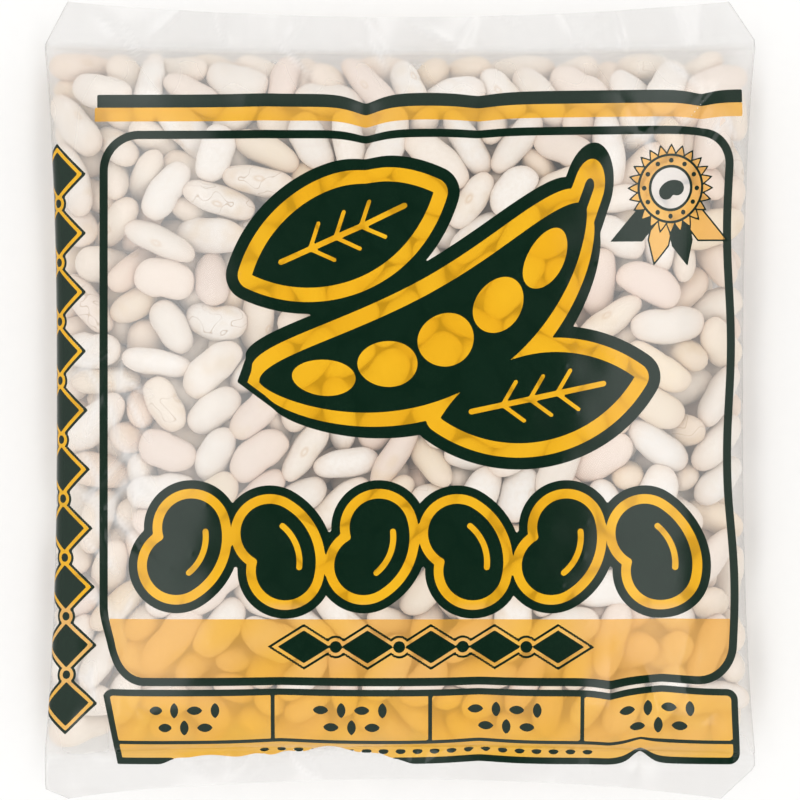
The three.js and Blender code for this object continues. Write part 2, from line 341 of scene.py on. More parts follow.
def bean_balls():
    """The balls that fill a bean of middle size, in pairs along it: centres (n, 3) and radii."""
    places = np.array(BALL_PLACES)
    share = girth_share(places)
    radii = np.minimum(BEAN_THICKNESS / 2 * share, BEAN_LENGTH / 2 * (1 - np.abs(places)))
    out = BEAN_WIDTH / 2 * share - radii
    centres = [(along * BEAN_LENGTH / 2, side * offset, 0.0)
               for along, offset in zip(places, out) for side in (-1, 1)]
    return np.array(centres), np.repeat(radii, 2)


def starting_places(container):
    """Places for the beans in three loose layers, with the widest spacing that fits them all."""
    half_bean = BEAN_THICKNESS / 2
    for spacing in START_SPACINGS:
        layers = []
        for level, height in enumerate(LAYER_HEIGHTS):
            shift = spacing / 2 * (level % 2)
            across = np.arange(-HALF_WIDTH, HALF_WIDTH, spacing) + shift
            along = np.arange(-HALF_LENGTH, HALF_LENGTH, spacing) + shift
            x, y = np.meshgrid(across, along)
            layer = np.stack([x.ravel(), y.ravel(), np.full(x.size, height)], axis=1)
            layers.append(layer[container.depth(layer) > half_bean - START_SHIFT])
        places = np.concatenate(layers)
        if len(places) >= BEAN_COUNT:
            return places + RANDOM.uniform(-START_SHIFT, START_SHIFT, places.shape)
    raise ValueError("the beans do not fit the bag")


def random_rotations(count):
    """Rotation matrices (count, 3, 3), evenly spread over all directions."""
    quaternions = RANDOM.normal(size=(count, 4))
    w, x, y, z = (quaternions / np.linalg.norm(quaternions, axis=1, keepdims=True)).T
    return np.stack([
        np.stack([1 - 2 * (y * y + z * z), 2 * (x * y - z * w), 2 * (x * z + y * w)], axis=-1),
        np.stack([2 * (x * y + z * w), 1 - 2 * (x * x + z * z), 2 * (y * z - x * w)], axis=-1),
        np.stack([2 * (x * z - y * w), 2 * (y * z + x * w), 1 - 2 * (x * x + y * y)], axis=-1),
    ], axis=1)


def rotate_more(rotations, turns):
    """Rotations (n, 3, 3) turned further by small turns (n, 3) about the axes of the frame."""
    angles = np.linalg.norm(turns, axis=1)[:, None, None]
    x, y, z = (turns / (np.linalg.norm(turns, axis=1, keepdims=True) + TINY_TURN)).T
    zero = np.zeros_like(x)
    cross = np.stack([zero, -z, y, z, zero, -x, -y, x, zero], axis=-1).reshape(-1, 3, 3)
    return (np.eye(3) + np.sin(angles) * cross + (1 - np.cos(angles)) * cross @ cross) @ rotations


class Packing:
    """Beans as rigid sets of balls that push each other and the wall away while they grow."""

    START_SIZE = 0.5
    GROW_ROUNDS = 150
    SETTLE_ROUNDS = 200
    INERTIA = 12.0            # of a full-sized bean, over its mass
    SEARCH_EVERY = 5          # rounds between searches for touching pairs
    SEARCH_REACH = 0.8
    EAGERNESS = 1.6           # how much of the wanted move is made in a round

    def __init__(self, container):
        self.container = container
        self.centres = starting_places(container)
        self.count = len(self.centres)
        self.rotations = random_rotations(self.count)
        spread = RANDOM.normal(size=(2, self.count)).clip(-SPREAD_LIMIT, SPREAD_LIMIT)
        self.lengths = 1 + LENGTH_SPREAD * spread[0]
        self.girths = 1 + GIRTH_SPREAD * spread[1]
        centres, radii = bean_balls()
        stretch = np.stack([self.lengths, self.girths, self.girths], axis=-1)
        self.balls = centres[None] * stretch[:, None]
        self.radii = radii[None] * self.girths[:, None]

    def run(self):
        for number in range(self.GROW_ROUNDS + self.SETTLE_ROUNDS):
            grown = min(1, number / self.GROW_ROUNDS)
            size = self.START_SIZE + (1 - self.START_SIZE) * grown
            arms = np.einsum("nij,nkj->nki", self.rotations, self.balls * size)
            places = self.centres[:, None] + arms
            radii = self.radii * size
            if number % self.SEARCH_EVERY == 0:
                pairs = self.find_pairs(places, radii, size)
            self.start_moves()
            self.part_beans(pairs, arms, places, radii, size)
            self.leave_wall(arms, places, radii, size)
            share = self.EAGERNESS / np.maximum(2, self.hits)[:, None]
            self.centres = self.centres + self.moves * share
            self.rotations = rotate_more(self.rotations, self.turns * share)

    def find_pairs(self, places, radii, size):
        """The pairs of balls of two beans that touch or nearly do, as bean, ball, bean, ball."""
        apart = np.linalg.norm(self.centres[:, None] - self.centres[None], axis=2)
        reach = BEAN_LENGTH * (1 + 2 * LENGTH_SPREAD) * size + 2 * self.SEARCH_REACH
        one, other = np.nonzero(np.triu(apart < reach, 1))
        gaps = np.linalg.norm(places[one][:, :, None] - places[other][:, None], axis=3)
        near = gaps < radii[one][:, :, None] + radii[other][:, None] + self.SEARCH_REACH
        pair, ball, other_ball = np.nonzero(near)
        return one[pair], ball, other[pair], other_ball

    def start_moves(self):
        self.moves = np.zeros((self.count, 3))
        self.turns = np.zeros((self.count, 3))
        self.hits = np.zeros(self.count)

    def add_moves(self, beans, pushes, arms, size):
        np.add.at(self.moves, beans, pushes)
        np.add.at(self.turns, beans, np.cross(arms, pushes) / (self.INERTIA * size * size))
        np.add.at(self.hits, beans, 1)

    def part_beans(self, pairs, arms, places, radii, size):
        one, ball, other, other_ball = pairs
        between = places[one, ball] - places[other, other_ball]
        gaps = np.linalg.norm(between, axis=1) + TINY
        overlaps = radii[one, ball] + radii[other, other_ball] - gaps
        hit = overlaps > 0
        directions = (between / gaps[:, None])[hit]
        arm, other_arm = arms[one, ball][hit], arms[other, other_ball][hit]
        give = 2
        for lever in (np.cross(arm, directions), np.cross(other_arm, directions)):
            give = give + (lever * lever).sum(axis=1) / (self.INERTIA * size * size)
        pushes = (overlaps[hit] / give)[:, None] * directions
        self.add_moves(one[hit], pushes, arm, size)
        self.add_moves(other[hit], -pushes, other_arm, size)

    def leave_wall(self, arms, places, radii, size):
        flat = places.reshape(-1, 3)
        depth = self.container.depth(flat).reshape(radii.shape)
        bean, ball = np.nonzero(radii + FILM_GAP > depth)
        inward = self.container.inward(places[bean, ball])
        overlaps = radii[bean, ball] + FILM_GAP - depth[bean, ball]
        lever = np.cross(arms[bean, ball], inward)
        give = 1 + (lever * lever).sum(axis=1) / (self.INERTIA * size * size)
        self.add_moves(bean, (overlaps / give)[:, None] * inward, arms[bean, ball], size)


# ======== The beans' meshes ========

def unit_bean(rings, sides):
    """A bean as a grid of shares: places along it (-1 to 1), and the turn round it."""
    turns = np.linspace(0, math.pi, rings + 1)[1:-1]
    along = np.repeat(-np.cos(turns), sides)
    around = np.tile(np.arange(sides) * 2 * math.pi / sides, len(turns))
    faces = grid_faces(len(turns), sides, True)
    first, last = len(along), len(along) + 1
    ring = np.arange(sides)
    after = (ring + 1) % sides
    start = np.stack([after, ring, np.full(sides, first)], axis=1)
    end_row = (len(turns) - 1) * sides
    finish = np.stack([end_row + ring, end_row + after, np.full(sides, last)], axis=1)
    along = np.concatenate([along, [-1.0, 1.0]])
    around = np.concatenate([around, [0.0, 0.0]])
    return along, around, [faces, np.concatenate([start, finish])]


def bean_shapes(packing, chosen, rings, sides):
    """Points of the chosen beans (beans, points, 3) in their own axes, and the unit's faces."""
    along, around, faces = unit_bean(rings, sides)
    count = len(chosen)
    taper = RANDOM.uniform(*TAPER_RANGE, (count, 1))
    bend = RANDOM.uniform(*BEND_RANGE, (count, 1))
    flatness = RANDOM.uniform(*FLATNESS_RANGE, (count, 1))
    lumps = RANDOM.uniform(0, 2 * math.pi, (count, 1))
    girth = girth_share(along)[None] * (1 + taper * along)
    lumpiness = np.sin(LUMPS["turns"] * along * math.pi + lumps + around)
    girth = girth * (1 + LUMPS["height"] * lumpiness)
    x = BEAN_LENGTH / 2 * packing.lengths[chosen, None] * along
    y = BEAN_WIDTH / 2 * packing.girths[chosen, None] * girth * np.cos(around)
    z = BEAN_THICKNESS / 2 * packing.girths[chosen, None] * flatness * girth * np.sin(around)
    eye_side = np.maximum(0, -np.cos(around)) ** EYE_DENT["power"]
    eye_dent = EYE_DENT["depth"] * np.exp(-(along / EYE_DENT["length"]) ** 2) * eye_side
    y = y + bend * (BEND_MIDDLE - along ** 2) + eye_dent
    return np.stack([x, y, z], axis=-1), faces


def kept_inside(points, container):
    """The beans' points (beans, points, 3), each bean moved in from the wall it reaches through."""
    for _ in range(WALL_ROUNDS):
        depth = container.depth(points.reshape(-1, 3)).reshape(points.shape[:2])
        worst = depth.argmin(axis=1)
        bean = np.arange(len(points))
        lack = np.maximum(0, WALL_GAP - depth[bean, worst])
        points = points + (container.inward(points[bean, worst]) * lack[:, None])[:, None]
    return points


def bean_tints(count):
    """A colour for each bean, mostly cream white with a few yellower, pinker and darker ones."""
    cream, warm, pink, white = (np.array(BEAN_TINTS[name])
                                for name in ("cream", "warm", "pink", "white"))
    pick = RANDOM.uniform(size=(count, 1))
    share = RANDOM.uniform(*TINT_SHARE, (count, 1))
    other = np.where(pick < WARM_UP_TO, warm, np.where(pick < PINK_UP_TO, pink, white))
    tints = cream + (other - cream) * share
    return tints * RANDOM.uniform(*TINT_LIGHT, (count, 1))


def bean_piece(name, packing, chosen, fineness, shade, material):
    local, faces = bean_shapes(packing, chosen, fineness, fineness)
    points = np.einsum("nij,nkj->nki", packing.rotations[chosen], local)
    points = kept_inside(points + packing.centres[chosen, None], packing.container)
    count, size, _ = points.shape
    starts = (np.arange(count) * size)[:, None, None]
    joined = [(starts + group[None]).reshape(-1, group.shape[1]) for group in faces]
    piece = new_piece(name, points.reshape(-1, 3), joined, material)
    tints = np.concatenate([bean_tints(count) * shade, np.ones((count, 1))], axis=1)
    tints = np.repeat(tints, size, axis=0)
    chances = np.repeat(RANDOM.uniform(0, 1, count), size)
    add_attribute(piece, "bean_tint", "FLOAT_COLOR", tints)
    add_attribute(piece, "bean_place", "FLOAT_VECTOR", local.reshape(-1, 3))
    add_attribute(piece, "bean_chance", "FLOAT", chances)
    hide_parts("bag")
    return piece


# ======== The film ========

def bean_tree(pieces):
    """A search tree of the beans' surfaces, in millimetres."""
    points, faces = [], []
    for piece in pieces:
        start = len(points)
        flat = np.empty(len(piece.data.vertices) * 3, dtype=np.float32)
        piece.data.vertices.foreach_get("co", flat)
        points.extend((flat.reshape(-1, 3) / MM).tolist())
        faces.extend([[start + i for i in polygon.vertices] for polygon in piece.data.polygons])
    return BVHTree.FromPolygons(points, faces)


def reach_of_beans(tree, points, normals):
    """How far the beans stand out past the smooth film at each point, or how far they lie back."""
    above, deepest = RAY_REACH
    reach = np.full(points.shape[:2], -deepest)
    for index in np.ndindex(*points.shape[:2]):
        start = points[index] + normals[index] * above
        _, _, _, distance = tree.ray_cast(start, -normals[index], above + deepest)
        if distance is not None:
            reach[index] = above - distance
    return reach


def around_each(grid):
    """The grid's inner values' neighbours on the four sides."""
    return grid[:-2, 1:-1], grid[2:, 1:-1], grid[1:-1, :-2], grid[1:-1, 2:]


def smoothed(grid, rounds):
    """The grid's values evened out with their neighbours, with its border kept."""
    even = grid.copy()
    for _ in range(rounds):
        even[1:-1, 1:-1] = even[1:-1, 1:-1] / 2 + sum(around_each(even)) / 8
    return even


def widened(grid, rounds):
    """The grid with its high values spread to their neighbours."""
    wide = grid.copy()
    for _ in range(rounds):
        wide[1:-1, 1:-1] = np.maximum.reduce([wide[1:-1, 1:-1], *around_each(wide)])
    return wide


def draw_tight(reach):
    """The film's distance from the smooth bag when it is drawn tight over the beans. The film is
    too stiff to follow each bean, so it is evened out, and lifted where a bean would break it."""
    least = reach + FILM_GAP
    height = np.maximum(least, 0)
    height[0] = height[-1] = 0
    for _ in range(STRETCH_ROUNDS):
        inner = sum(around_each(height)) / 4
        height[1:-1, 1:-1] = np.maximum(inner - SAG, least[1:-1, 1:-1])
    even = smoothed(height, STIFF_ROUNDS)
    lack = np.maximum(0, least - even)
    lack[0] = lack[-1] = 0
    spreading, evening = LIFT_ROUNDS
    return np.maximum(even + smoothed(widened(lack, spreading), evening), least)


# Folds that run along the bag: where they are, how wide they are, how far they reach, how far they
# lift the film and how far they carry the printing along the bag.
FOLDS = [
    {"x": -8.6, "y": 88.0, "carry": -3.4, "width": 4.6, "reach": 26.0, "lift": -0.8},
    {"x": 19.7, "y": 88.0, "carry": -1.3, "width": 6.0, "reach": 24.0, "lift": -0.6},
    {"x": 76.0, "y": 88.0, "carry": -1.6, "width": 4.0, "reach": 20.0, "lift": -0.6},
    {"x": -34.0, "y": 88.0, "carry": 0.4, "width": 9.0, "reach": 22.0, "lift": 0.4},
    {"x": 60.7, "y": -91.0, "carry": 4.0, "width": 2.6, "reach": 4.6, "lift": -0.8},
    {"x": 53.0, "y": -76.0, "carry": -1.1, "width": 4.0, "reach": 12.0, "lift": -0.5},
    {"x": 66.0, "y": -74.0, "carry": 1.2, "width": 9.0, "reach": 14.0, "lift": 0.5},
    {"x": 20.0, "y": -88.0, "carry": 0.9, "width": 9.0, "reach": 20.0, "lift": -0.4},
    {"x": -30.0, "y": -88.0, "carry": 0.8, "width": 11.0, "reach": 18.0, "lift": 0.4},
    {"x": -79.0, "y": -78.0, "carry": 0.6, "width": 6.0, "reach": 24.0, "lift": -0.7},
]
FOLD_SHARPNESS = 1.4      # 2 is a soft round fold, 1 has a crease in the middle
UP_THE_BAG = 90.0
FOLDED_SLOPES = (0.2, 0.8)      # how much the film faces up where folds begin, and where all is folded
BACK_FOLLOWS = (SEAL_LINE - 7, SEAL_LINE - 2)       # where the back begins to move, and moves as far
PUCKERS = {"count": 30, "x": (-84, 84), "width": (1.2, 3.0), "reach": (4.0, 13.0),
           "lift": (-0.3, 0.2)}
SLACK = {"turn": (20.0, 160.0), "width": (0.9, 1.7), "reach": (3.0, 9.0), "lift": (-0.3, 0.45)}
SLACK_SPOTS = [
    {"x": (-84.0, -66.0), "y": (-52.0, 14.0), "count": 22},
    {"x": (-60.0, 20.0), "y": (-95.0, -88.0), "count": 12},
    {"x": (-80.0, 80.0), "y": (86.0, 98.0), "count": 16},
    {"x": (-86.0, -60.0), "y": (-84.0, -60.0), "count": 9},
    {"x": (56.0, 82.0), "y": (-86.0, -62.0), "count": 9},
    {"x": (60.0, 84.0), "y": (66.0, 86.0), "count": 7},
]


def fold_share(fold, x, y):
    """How much of a fold there is at a point: 1 on its sharp middle, 0 away from it."""
    along, across = turned(x, y, (fold["x"], fold["y"]), fold.get("turn", UP_THE_BAG))
    ridge = np.abs(across / fold["width"]) ** FOLD_SHARPNESS
    return np.exp(-ridge - (along / fold["reach"]) ** 2)


def small_folds():
    """Fine puckers along both seals, and slack creases where the film is loose."""
    folds = []
    for _ in range(PUCKERS["count"]):
        fold = {"x": RANDOM.uniform(*PUCKERS["x"]), "y": RANDOM.choice([-1, 1]) * SEAL_LINE}
        fold.update({part: RANDOM.uniform(*PUCKERS[part]) for part in ("width", "reach", "lift")})
        folds.append(fold)
    for spot in SLACK_SPOTS:
        for _ in range(spot["count"]):
            fold = {part: RANDOM.uniform(*spot[part]) for part in ("x", "y")}
            fold.update({part: RANDOM.uniform(*limits) for part, limits in SLACK.items()})
            folds.append(fold)
    return folds


def creased(film, top_columns, folds):
    """The film moved in and out by its folds. Near the seals the back moves with the front."""
    x, y = film[..., 0], film[..., 1]
    lift = sum(fold["lift"] * fold_share(fold, x, y) for fold in folds)
    normals = grid_normals(film[:, :top_columns])
    over = smooth_step(normals[..., 2], *FOLDED_SLOPES)
    moved = film.copy()
    moved[:, :top_columns] += normals * (lift[:, :top_columns] * over)[..., None]
    at_seal = smooth_step(np.abs(y[:, top_columns:]), *BACK_FOLLOWS)
    moved[:, top_columns:, 2] += lift[:, top_columns:] * at_seal
    return moved


def make_film(rings, top_columns, body, tree):
    """The film's points (rows, columns, 3), tight over the beans between the seals, and how much
    it is creased at each, which its haze whitens as painted glints."""
    film = creased(rings, top_columns, FOLDS)
    over = film[body, :top_columns]
    normals = grid_normals(over)
    height = draw_tight(reach_of_beans(tree, over, normals))
    film[body, :top_columns] = over + normals * height[..., None]
    small = small_folds()
    x, y = film[..., 0], film[..., 1]
    # The slack creases, which the haze whitens as painted glints.
    crease = sum(fold_share(fold, x, y) for fold in small[PUCKERS["count"]:])
    crease[:, top_columns:] = 0
    return creased(film, top_columns, small), np.minimum(crease, 1) ** 2


# On the seals and bunched film the haze is partly the film's own and partly painted reflection of the
# light on the sloping film; along the slack creases it is painted glints.
HAZE = {"clear": 0.13, "bunched": 0.15, "seal": 0.45, "edge": 0.05, "crease": 0.4, "most": 0.9}
NEAR_FIN_SHARE = 0.1      # of the haze of the seal
RIGHT_SHARE = 0.6         # of the haze where the film is bunched
STREAKS = {"size": 0.12, "length": 2.3, "sway": 7.0, "gap": 9.1, "gap_sway": 17.0}
# Where the film begins to turn hazy, and where it has: the fins and the way to them in shares of
# the way to a seal line, the rest in millimetres from the middle of the bag.
HAZE_STARTS = {"near_fin": (0.80, 0.95), "top_fin": (0.96, 1.04), "bottom_fin": (0.99, 1.05),
               "left": (15.0, 45.0), "right": (42.0, 62.0), "top": (62.0, 74.0),
               "bottom": (80.0, 92.0), "edge": (78.0, 87.0)}


def film_haze(x, y, crease):
    """How hazy the film is, from 0 to 1: most on the fins, least where it is tight in the middle. On
    the fins and bunched film that is partly painted reflection, and along creases painted glints.
    """
    def past(place, value):
        return smooth_step(value, *HAZE_STARTS[place])

    toward_seal = y / bowed(SEAL_LINE, SEAL_LINE - SEAL_BOW, x)
    fins = NEAR_FIN_SHARE * past("near_fin", toward_seal) + past("bottom_fin", -toward_seal)
    fins = fins + (1 - NEAR_FIN_SHARE) * past("top_fin", toward_seal)
    sides = past("left", -x) + RIGHT_SHARE * past("right", x)
    bunched = np.minimum(1, sides + past("top", y) + past("bottom", -y))
    haze = HAZE["seal"] * fins + HAZE["bunched"] * bunched + HAZE["edge"] * past("edge", np.abs(x))
    fine = np.sin(x / STREAKS["length"] + np.sin(y / STREAKS["sway"]))
    streaks = 1 + STREAKS["size"] * fine * np.sin(x / STREAKS["gap"] + y / STREAKS["gap_sway"])
    return np.minimum(HAZE["clear"] + haze * streaks + HAZE["crease"] * crease, HAZE["most"])


def film_piece(film, crease, material):
    rows, columns, _ = film.shape
    flat = film.reshape(-1, 3)
    faces = grid_faces(rows, columns, True)
    piece = new_piece("film", flat, [faces], material)
    add_attribute(piece, "haze", "FLOAT", film_haze(flat[:, 0], flat[:, 1], crease.ravel()))
    let_light_through(piece)
    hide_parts("bag")


# ======== The printing ========
# Each shape gives how far a point lies outside it, in millimetres, and is negative inside it.

EMBLEM_MIDDLE = (7.6, 22.6)


def box(x, y, left, right, low, high, corner=0.0):
    dx = np.abs(x - (left + right) / 2) - (right - left) / 2 + corner
    dy = np.abs(y - (low + high) / 2) - (high - low) / 2 + corner
    outside = np.hypot(np.maximum(dx, 0), np.maximum(dy, 0))
    return outside + np.minimum(np.maximum(dx, dy), 0) - corner


def ellipse(u, v, half_length, half_width):
    scaled = np.hypot(u / half_length, v / half_width) + TINY
    steepness = np.hypot(u / half_length ** 2, v / half_width ** 2) + TINY
    return scaled * (scaled - 1) / steepness


def arc(x, y, middle, degrees, radius, half_span, half_width):
    """A round-ended bar bent along a circle. It passes through the middle and bulges the way the
    angle points."""
    u, v = turned(x, y, middle, degrees)
    turn = np.clip(np.arctan2(v, u + radius), -half_span, half_span)
    du = u + radius - radius * np.cos(turn)
    return np.hypot(du, v - radius * np.sin(turn)) - half_width


def leaf(x, y, middle, degrees, half_length, half_width):
    """Two arcs that meet in points."""
    u, v = (np.abs(part) for part in turned(x, y, middle, degrees))
    radius = (half_length ** 2 + half_width ** 2) / (2 * half_width)
    inset = radius - half_width
    past_tip = (u - half_length) * inset > v * half_length
    return np.where(past_tip, np.hypot(u - half_length, v), np.hypot(u, v + inset) - radius)


def lozenge(u, v, half_length, half_width):
    scale = math.hypot(1 / half_length, 1 / half_width)
    return (np.abs(u) / half_length + np.abs(v) / half_width - 1) / scale


def lozenge_chain(along, across, places, chain):
    """Lozenges at places along a line, with a dot between each two."""
    half_step = (places[1] - places[0]) / 2
    shapes = [np.hypot(along - place + half_step, across) - chain["dot"] for place in places[1:]]
    for place in places:
        shapes.append(lozenge(along - place, across, chain["half_length"], chain["half_width"]))
    return joined(*shapes)


def bar(x, y, start, end, half_width):
    """A straight bar with round ends."""
    sx, sy = end[0] - start[0], end[1] - start[1]
    share = ((x - start[0]) * sx + (y - start[1]) * sy) / (sx * sx + sy * sy)
    share = np.clip(share, 0, 1)
    return np.hypot(x - start[0] - share * sx, y - start[1] - share * sy) - half_width


def joined(*shapes):
    return np.minimum.reduce(shapes)


def within(*shapes):
    return np.maximum.reduce(shapes)


def between(shape, inner, outer):
    """The band from one distance to another round a shape."""
    return within(inner - shape, shape - outer)


POD = {"angle": 28.0, "half_length": 46.5, "half_width": 12.8, "sag": 13.0, "rise": 4.0,
       "roundness": 2.2, "fullness": 0.62, "past_tip": 1.5, "slope": 0.9}
POD_BEANS = {"count": 5, "half_length": 7.2, "half_width": 6.6, "thinner": 0.55, "power": 1.5,
             "up": 0.5, "end_room": 0.9}
STALK = {"inside": 3.0, "outside": 3.0, "up": 2.0, "half_width": 1.6}
LEAVES = [
    {"right": -22.0, "up": 19.0, "angle": 24.0, "half_length": 25.0, "half_width": 11.5},
    {"right": 27.0, "up": -22.0, "angle": 12.0, "half_length": 25.0, "half_width": 11.0},
]
VEINS = {"half_length": 17.0, "half_width": 0.7, "branches": (-9.0, -2.0, 5.0), "along": 4.5,
         "out": 5.0, "branch_half_width": 0.5}


def pod_and_stalk(u, v):
    """A long pod with a short stalk, in the pod's own axes."""
    tip = POD["half_length"]
    share = np.clip(np.abs(u) / tip, 0, 1)
    edge = POD["half_width"] * (1 - share ** POD["roundness"]) ** POD["fullness"]
    edge = edge - POD["past_tip"] * np.maximum(0, np.abs(u) - tip)
    root, end = (tip - STALK["inside"], 0.0), (tip + STALK["outside"], STALK["up"])
    return joined((np.abs(v) - edge) * POD["slope"], bar(u, v, root, end, STALK["half_width"]))


def pod_beans(u, v):
    """A row of beans along the pod, the smaller the further from its middle."""
    spacing = 2 * POD["half_length"] / (POD_BEANS["count"] + POD_BEANS["end_room"])
    beans = []
    for place in centred(POD_BEANS["count"]):
        thinner = POD_BEANS["thinner"] * abs(place) ** POD_BEANS["power"]
        beans.append(ellipse(u - place * spacing, v - POD_BEANS["up"], POD_BEANS["half_length"],
                             POD_BEANS["half_width"] - thinner))
    return joined(*beans)


def leaf_veins(u, v):
    """A leaf's vein down its middle with pairs of branches, in the leaf's own axes."""
    half = VEINS["half_length"]
    veins = [bar(u, v, (-half, 0.0), (half, 0.0), VEINS["half_width"])]
    for branch in VEINS["branches"]:
        for side in (-1, 1):
            tip = (branch + VEINS["along"], side * VEINS["out"])
            veins.append(bar(u, v, (branch, 0.0), tip, VEINS["branch_half_width"]))
    return joined(*veins)


def emblem(x, y):
    """An open pod with beans in it between two leaves: its dark shape and what is bright in it."""
    u, v = turned(x, y, EMBLEM_MIDDLE, POD["angle"])
    v = v + POD["sag"] * (1 - (u / POD["half_length"]) ** 2) - POD["rise"]
    dark, veins = [pod_and_stalk(u, v)], []
    for own in LEAVES:
        middle = (EMBLEM_MIDDLE[0] + own["right"], EMBLEM_MIDDLE[1] + own["up"])
        dark.append(leaf(x, y, middle, own["angle"], own["half_length"], own["half_width"]))
        veins.append(leaf_veins(*turned(x, y, middle, own["angle"])))
    return joined(*dark), pod_beans(u, v), joined(*veins)


BEAN_ROW = {"middle": (6.2, -37.6), "count": 6, "spacing": 23.6, "lean": 22.0}
DRAWN_BEAN = {"radius": 8.4, "half_span": 0.66, "half_width": 7.4}
DRAWN_LIGHT = {"out": 3.3, "half_span": 0.5, "half_width": 0.75}


def bean_row(x, y):
    """A row of kidney beans that lean by turns, and the streak of light on each."""
    mx, my = BEAN_ROW["middle"]
    beans, lights = [], []
    for number, place in enumerate(centred(BEAN_ROW["count"])):
        middle = (mx + place * BEAN_ROW["spacing"], my)
        angle = BEAN_ROW["lean"] if number % 2 else -BEAN_ROW["lean"]
        beans.append(arc(x, y, middle, angle, **DRAWN_BEAN))
        out = DRAWN_LIGHT["out"]
        reach = (out * math.cos(math.radians(angle)), out * math.sin(math.radians(angle)))
        lights.append(arc(x, y, (middle[0] + reach[0], middle[1] + reach[1]), angle,
                          DRAWN_BEAN["radius"] + out, DRAWN_LIGHT["half_span"],
                          DRAWN_LIGHT["half_width"]))
    return joined(*beans), joined(*lights)


BAND_CHAIN = {"middle": (7.8, -62.2), "count": 5, "spacing": 16.0, "half_length": 6.6,
              "half_width": 4.2, "dot": 1.5}
SIDE_CHAIN = {"middle": -88.0, "top": 57.0, "bottom": -77.0, "count": 10, "half_length": 5.6,
              "half_width": 6.0, "dot": 1.1, "lean": 3.0, "lean_down": (20.0, -75.0)}


def band_chain(x, y):
    """A row of lozenges on the band."""
    mx, my = BAND_CHAIN["middle"]
    places = mx + centred(BAND_CHAIN["count"]) * BAND_CHAIN["spacing"]
    return lozenge_chain(x, y - my, places, BAND_CHAIN)


def side_chain(around, y):
    """A column of lozenges on the left side, by the distance round the film."""
    heights = np.linspace(SIDE_CHAIN["top"], SIDE_CHAIN["bottom"], SIDE_CHAIN["count"])
    lean = SIDE_CHAIN["lean"] * smooth_step(y, *SIDE_CHAIN["lean_down"])
    return lozenge_chain(y, around - SIDE_CHAIN["middle"] - lean, heights, SIDE_CHAIN)


ROSETTE = {"middle": (68.5, 52.1), "radius": 9.5, "teeth": 24, "tooth": 2.2, "slope": 0.7,
           "open": 5.5, "open_line": 0.35, "ring": 8.4, "ring_line": 0.3, "dots": 12,
           "dots_out": 7.0, "dot": 0.6, "rim": 0.5}
ROSETTE_BEAN = {"degrees": 110.0, "radius": 2.4, "half_span": 0.7, "half_width": 1.9}
LONG_RIBBONS = ({"angle": -104.0, "colour": "yellow"}, {"angle": -76.0, "colour": "green"})
SHORT_RIBBONS = ({"angle": -132.0, "colour": "green"}, {"angle": -48.0, "colour": "yellow"})
RIBBON = {"start": 4.0, "half_width": 3.0, "length": 19.0, "point": 0.55, "slope": 0.85,
          "short_end": 39.3, "uncut_length": 28.5, "rim": 0.4}


def rosette(x, y):
    """A toothed disc: its body, what is dark on it and its open middle."""
    mx, my = ROSETTE["middle"]
    out = np.hypot(x - mx, y - my)
    turn = np.arctan2(y - my, x - mx)
    tooth = 0.5 - np.arccos(np.cos(ROSETTE["teeth"] * turn)) / math.pi
    body = (out - ROSETTE["radius"] - ROSETTE["tooth"] * tooth) * ROSETTE["slope"]
    marks = [np.abs(out - ROSETTE["open"]) - ROSETTE["open_line"],
             np.abs(out - ROSETTE["ring"]) - ROSETTE["ring_line"],
             arc(x, y, ROSETTE["middle"], **ROSETTE_BEAN)]
    for number in range(ROSETTE["dots"]):
        angle = 2 * math.pi * number / ROSETTE["dots"]
        across, up = ROSETTE["dots_out"] * math.cos(angle), ROSETTE["dots_out"] * math.sin(angle)
        marks.append(np.hypot(x - mx - across, y - my - up) - ROSETTE["dot"])
    return body, joined(*marks), out - ROSETTE["open"]


def ribbons(x, y, colour):
    """The pennants of one colour that hang from the rosette: pointed long ones and cut off short
    ones."""
    half, length = RIBBON["half_width"], RIBBON["length"]
    shapes = []
    for ribbon in LONG_RIBBONS:
        u, v = turned(x, y, ROSETTE["middle"], ribbon["angle"])
        point = (np.abs(v) + RIBBON["point"] * (u - length)) * RIBBON["slope"]
        strip = box(u, v, RIBBON["start"], length, -half, half)
        shapes.append((ribbon["colour"], within(strip, point)))
    for ribbon in SHORT_RIBBONS:
        u, v = turned(x, y, ROSETTE["middle"], ribbon["angle"])
        strip = box(u, v, RIBBON["start"], RIBBON["uncut_length"], -half, half)
        shapes.append((ribbon["colour"], within(strip, RIBBON["short_end"] - y)))
    return joined(*[shape for own, shape in shapes if own == colour])


TABLE = {"left": -76.8, "right": 84.2, "top": -73.9, "row": -86.6, "bottom": -91.4,
         "line": 0.85, "dividers": (-32.1, 7.6, 46.0), "lean": 3.6, "corner": 2.0,
         "row_line": 0.45, "divider_line": 0.5}
SEEDS = {"rows": ((-78.4, 4), (-82.8, 3)), "spacing": 5.2, "half_length": 2.0, "half_width": 1.1}
DOTS = {"middle": (6.6, -88.9), "count": 20, "spacing": 4.3, "half_length": 1.3, "half_width": 0.9}
TUCK = {"left": -62.0, "right": 4.0, "soft": 8.0, "rise": 2.0, "peak": -17.0, "peak_width": 9.0,
        "peak_rise": 2.2, "ripple": 0.3, "ripple_length": 1.6, "ripple_sway": 5.0}


def tucked_under(x, y):
    """Where the seal is folded over the lowest printing: how far a point lies above the fold."""
    share = smooth_step(x, TUCK["left"], TUCK["left"] + TUCK["soft"])
    share = share * smooth_step(-x, -TUCK["right"], TUCK["soft"] - TUCK["right"])
    peak = TUCK["peak_rise"] * np.exp(-((x - TUCK["peak"]) / TUCK["peak_width"]) ** 2)
    ripple = TUCK["ripple"] * np.sin(x / TUCK["ripple_length"] + np.sin(x / TUCK["ripple_sway"]))
    return y - TABLE["bottom"] + TABLE["line"] - share * (TUCK["rise"] + peak + ripple)


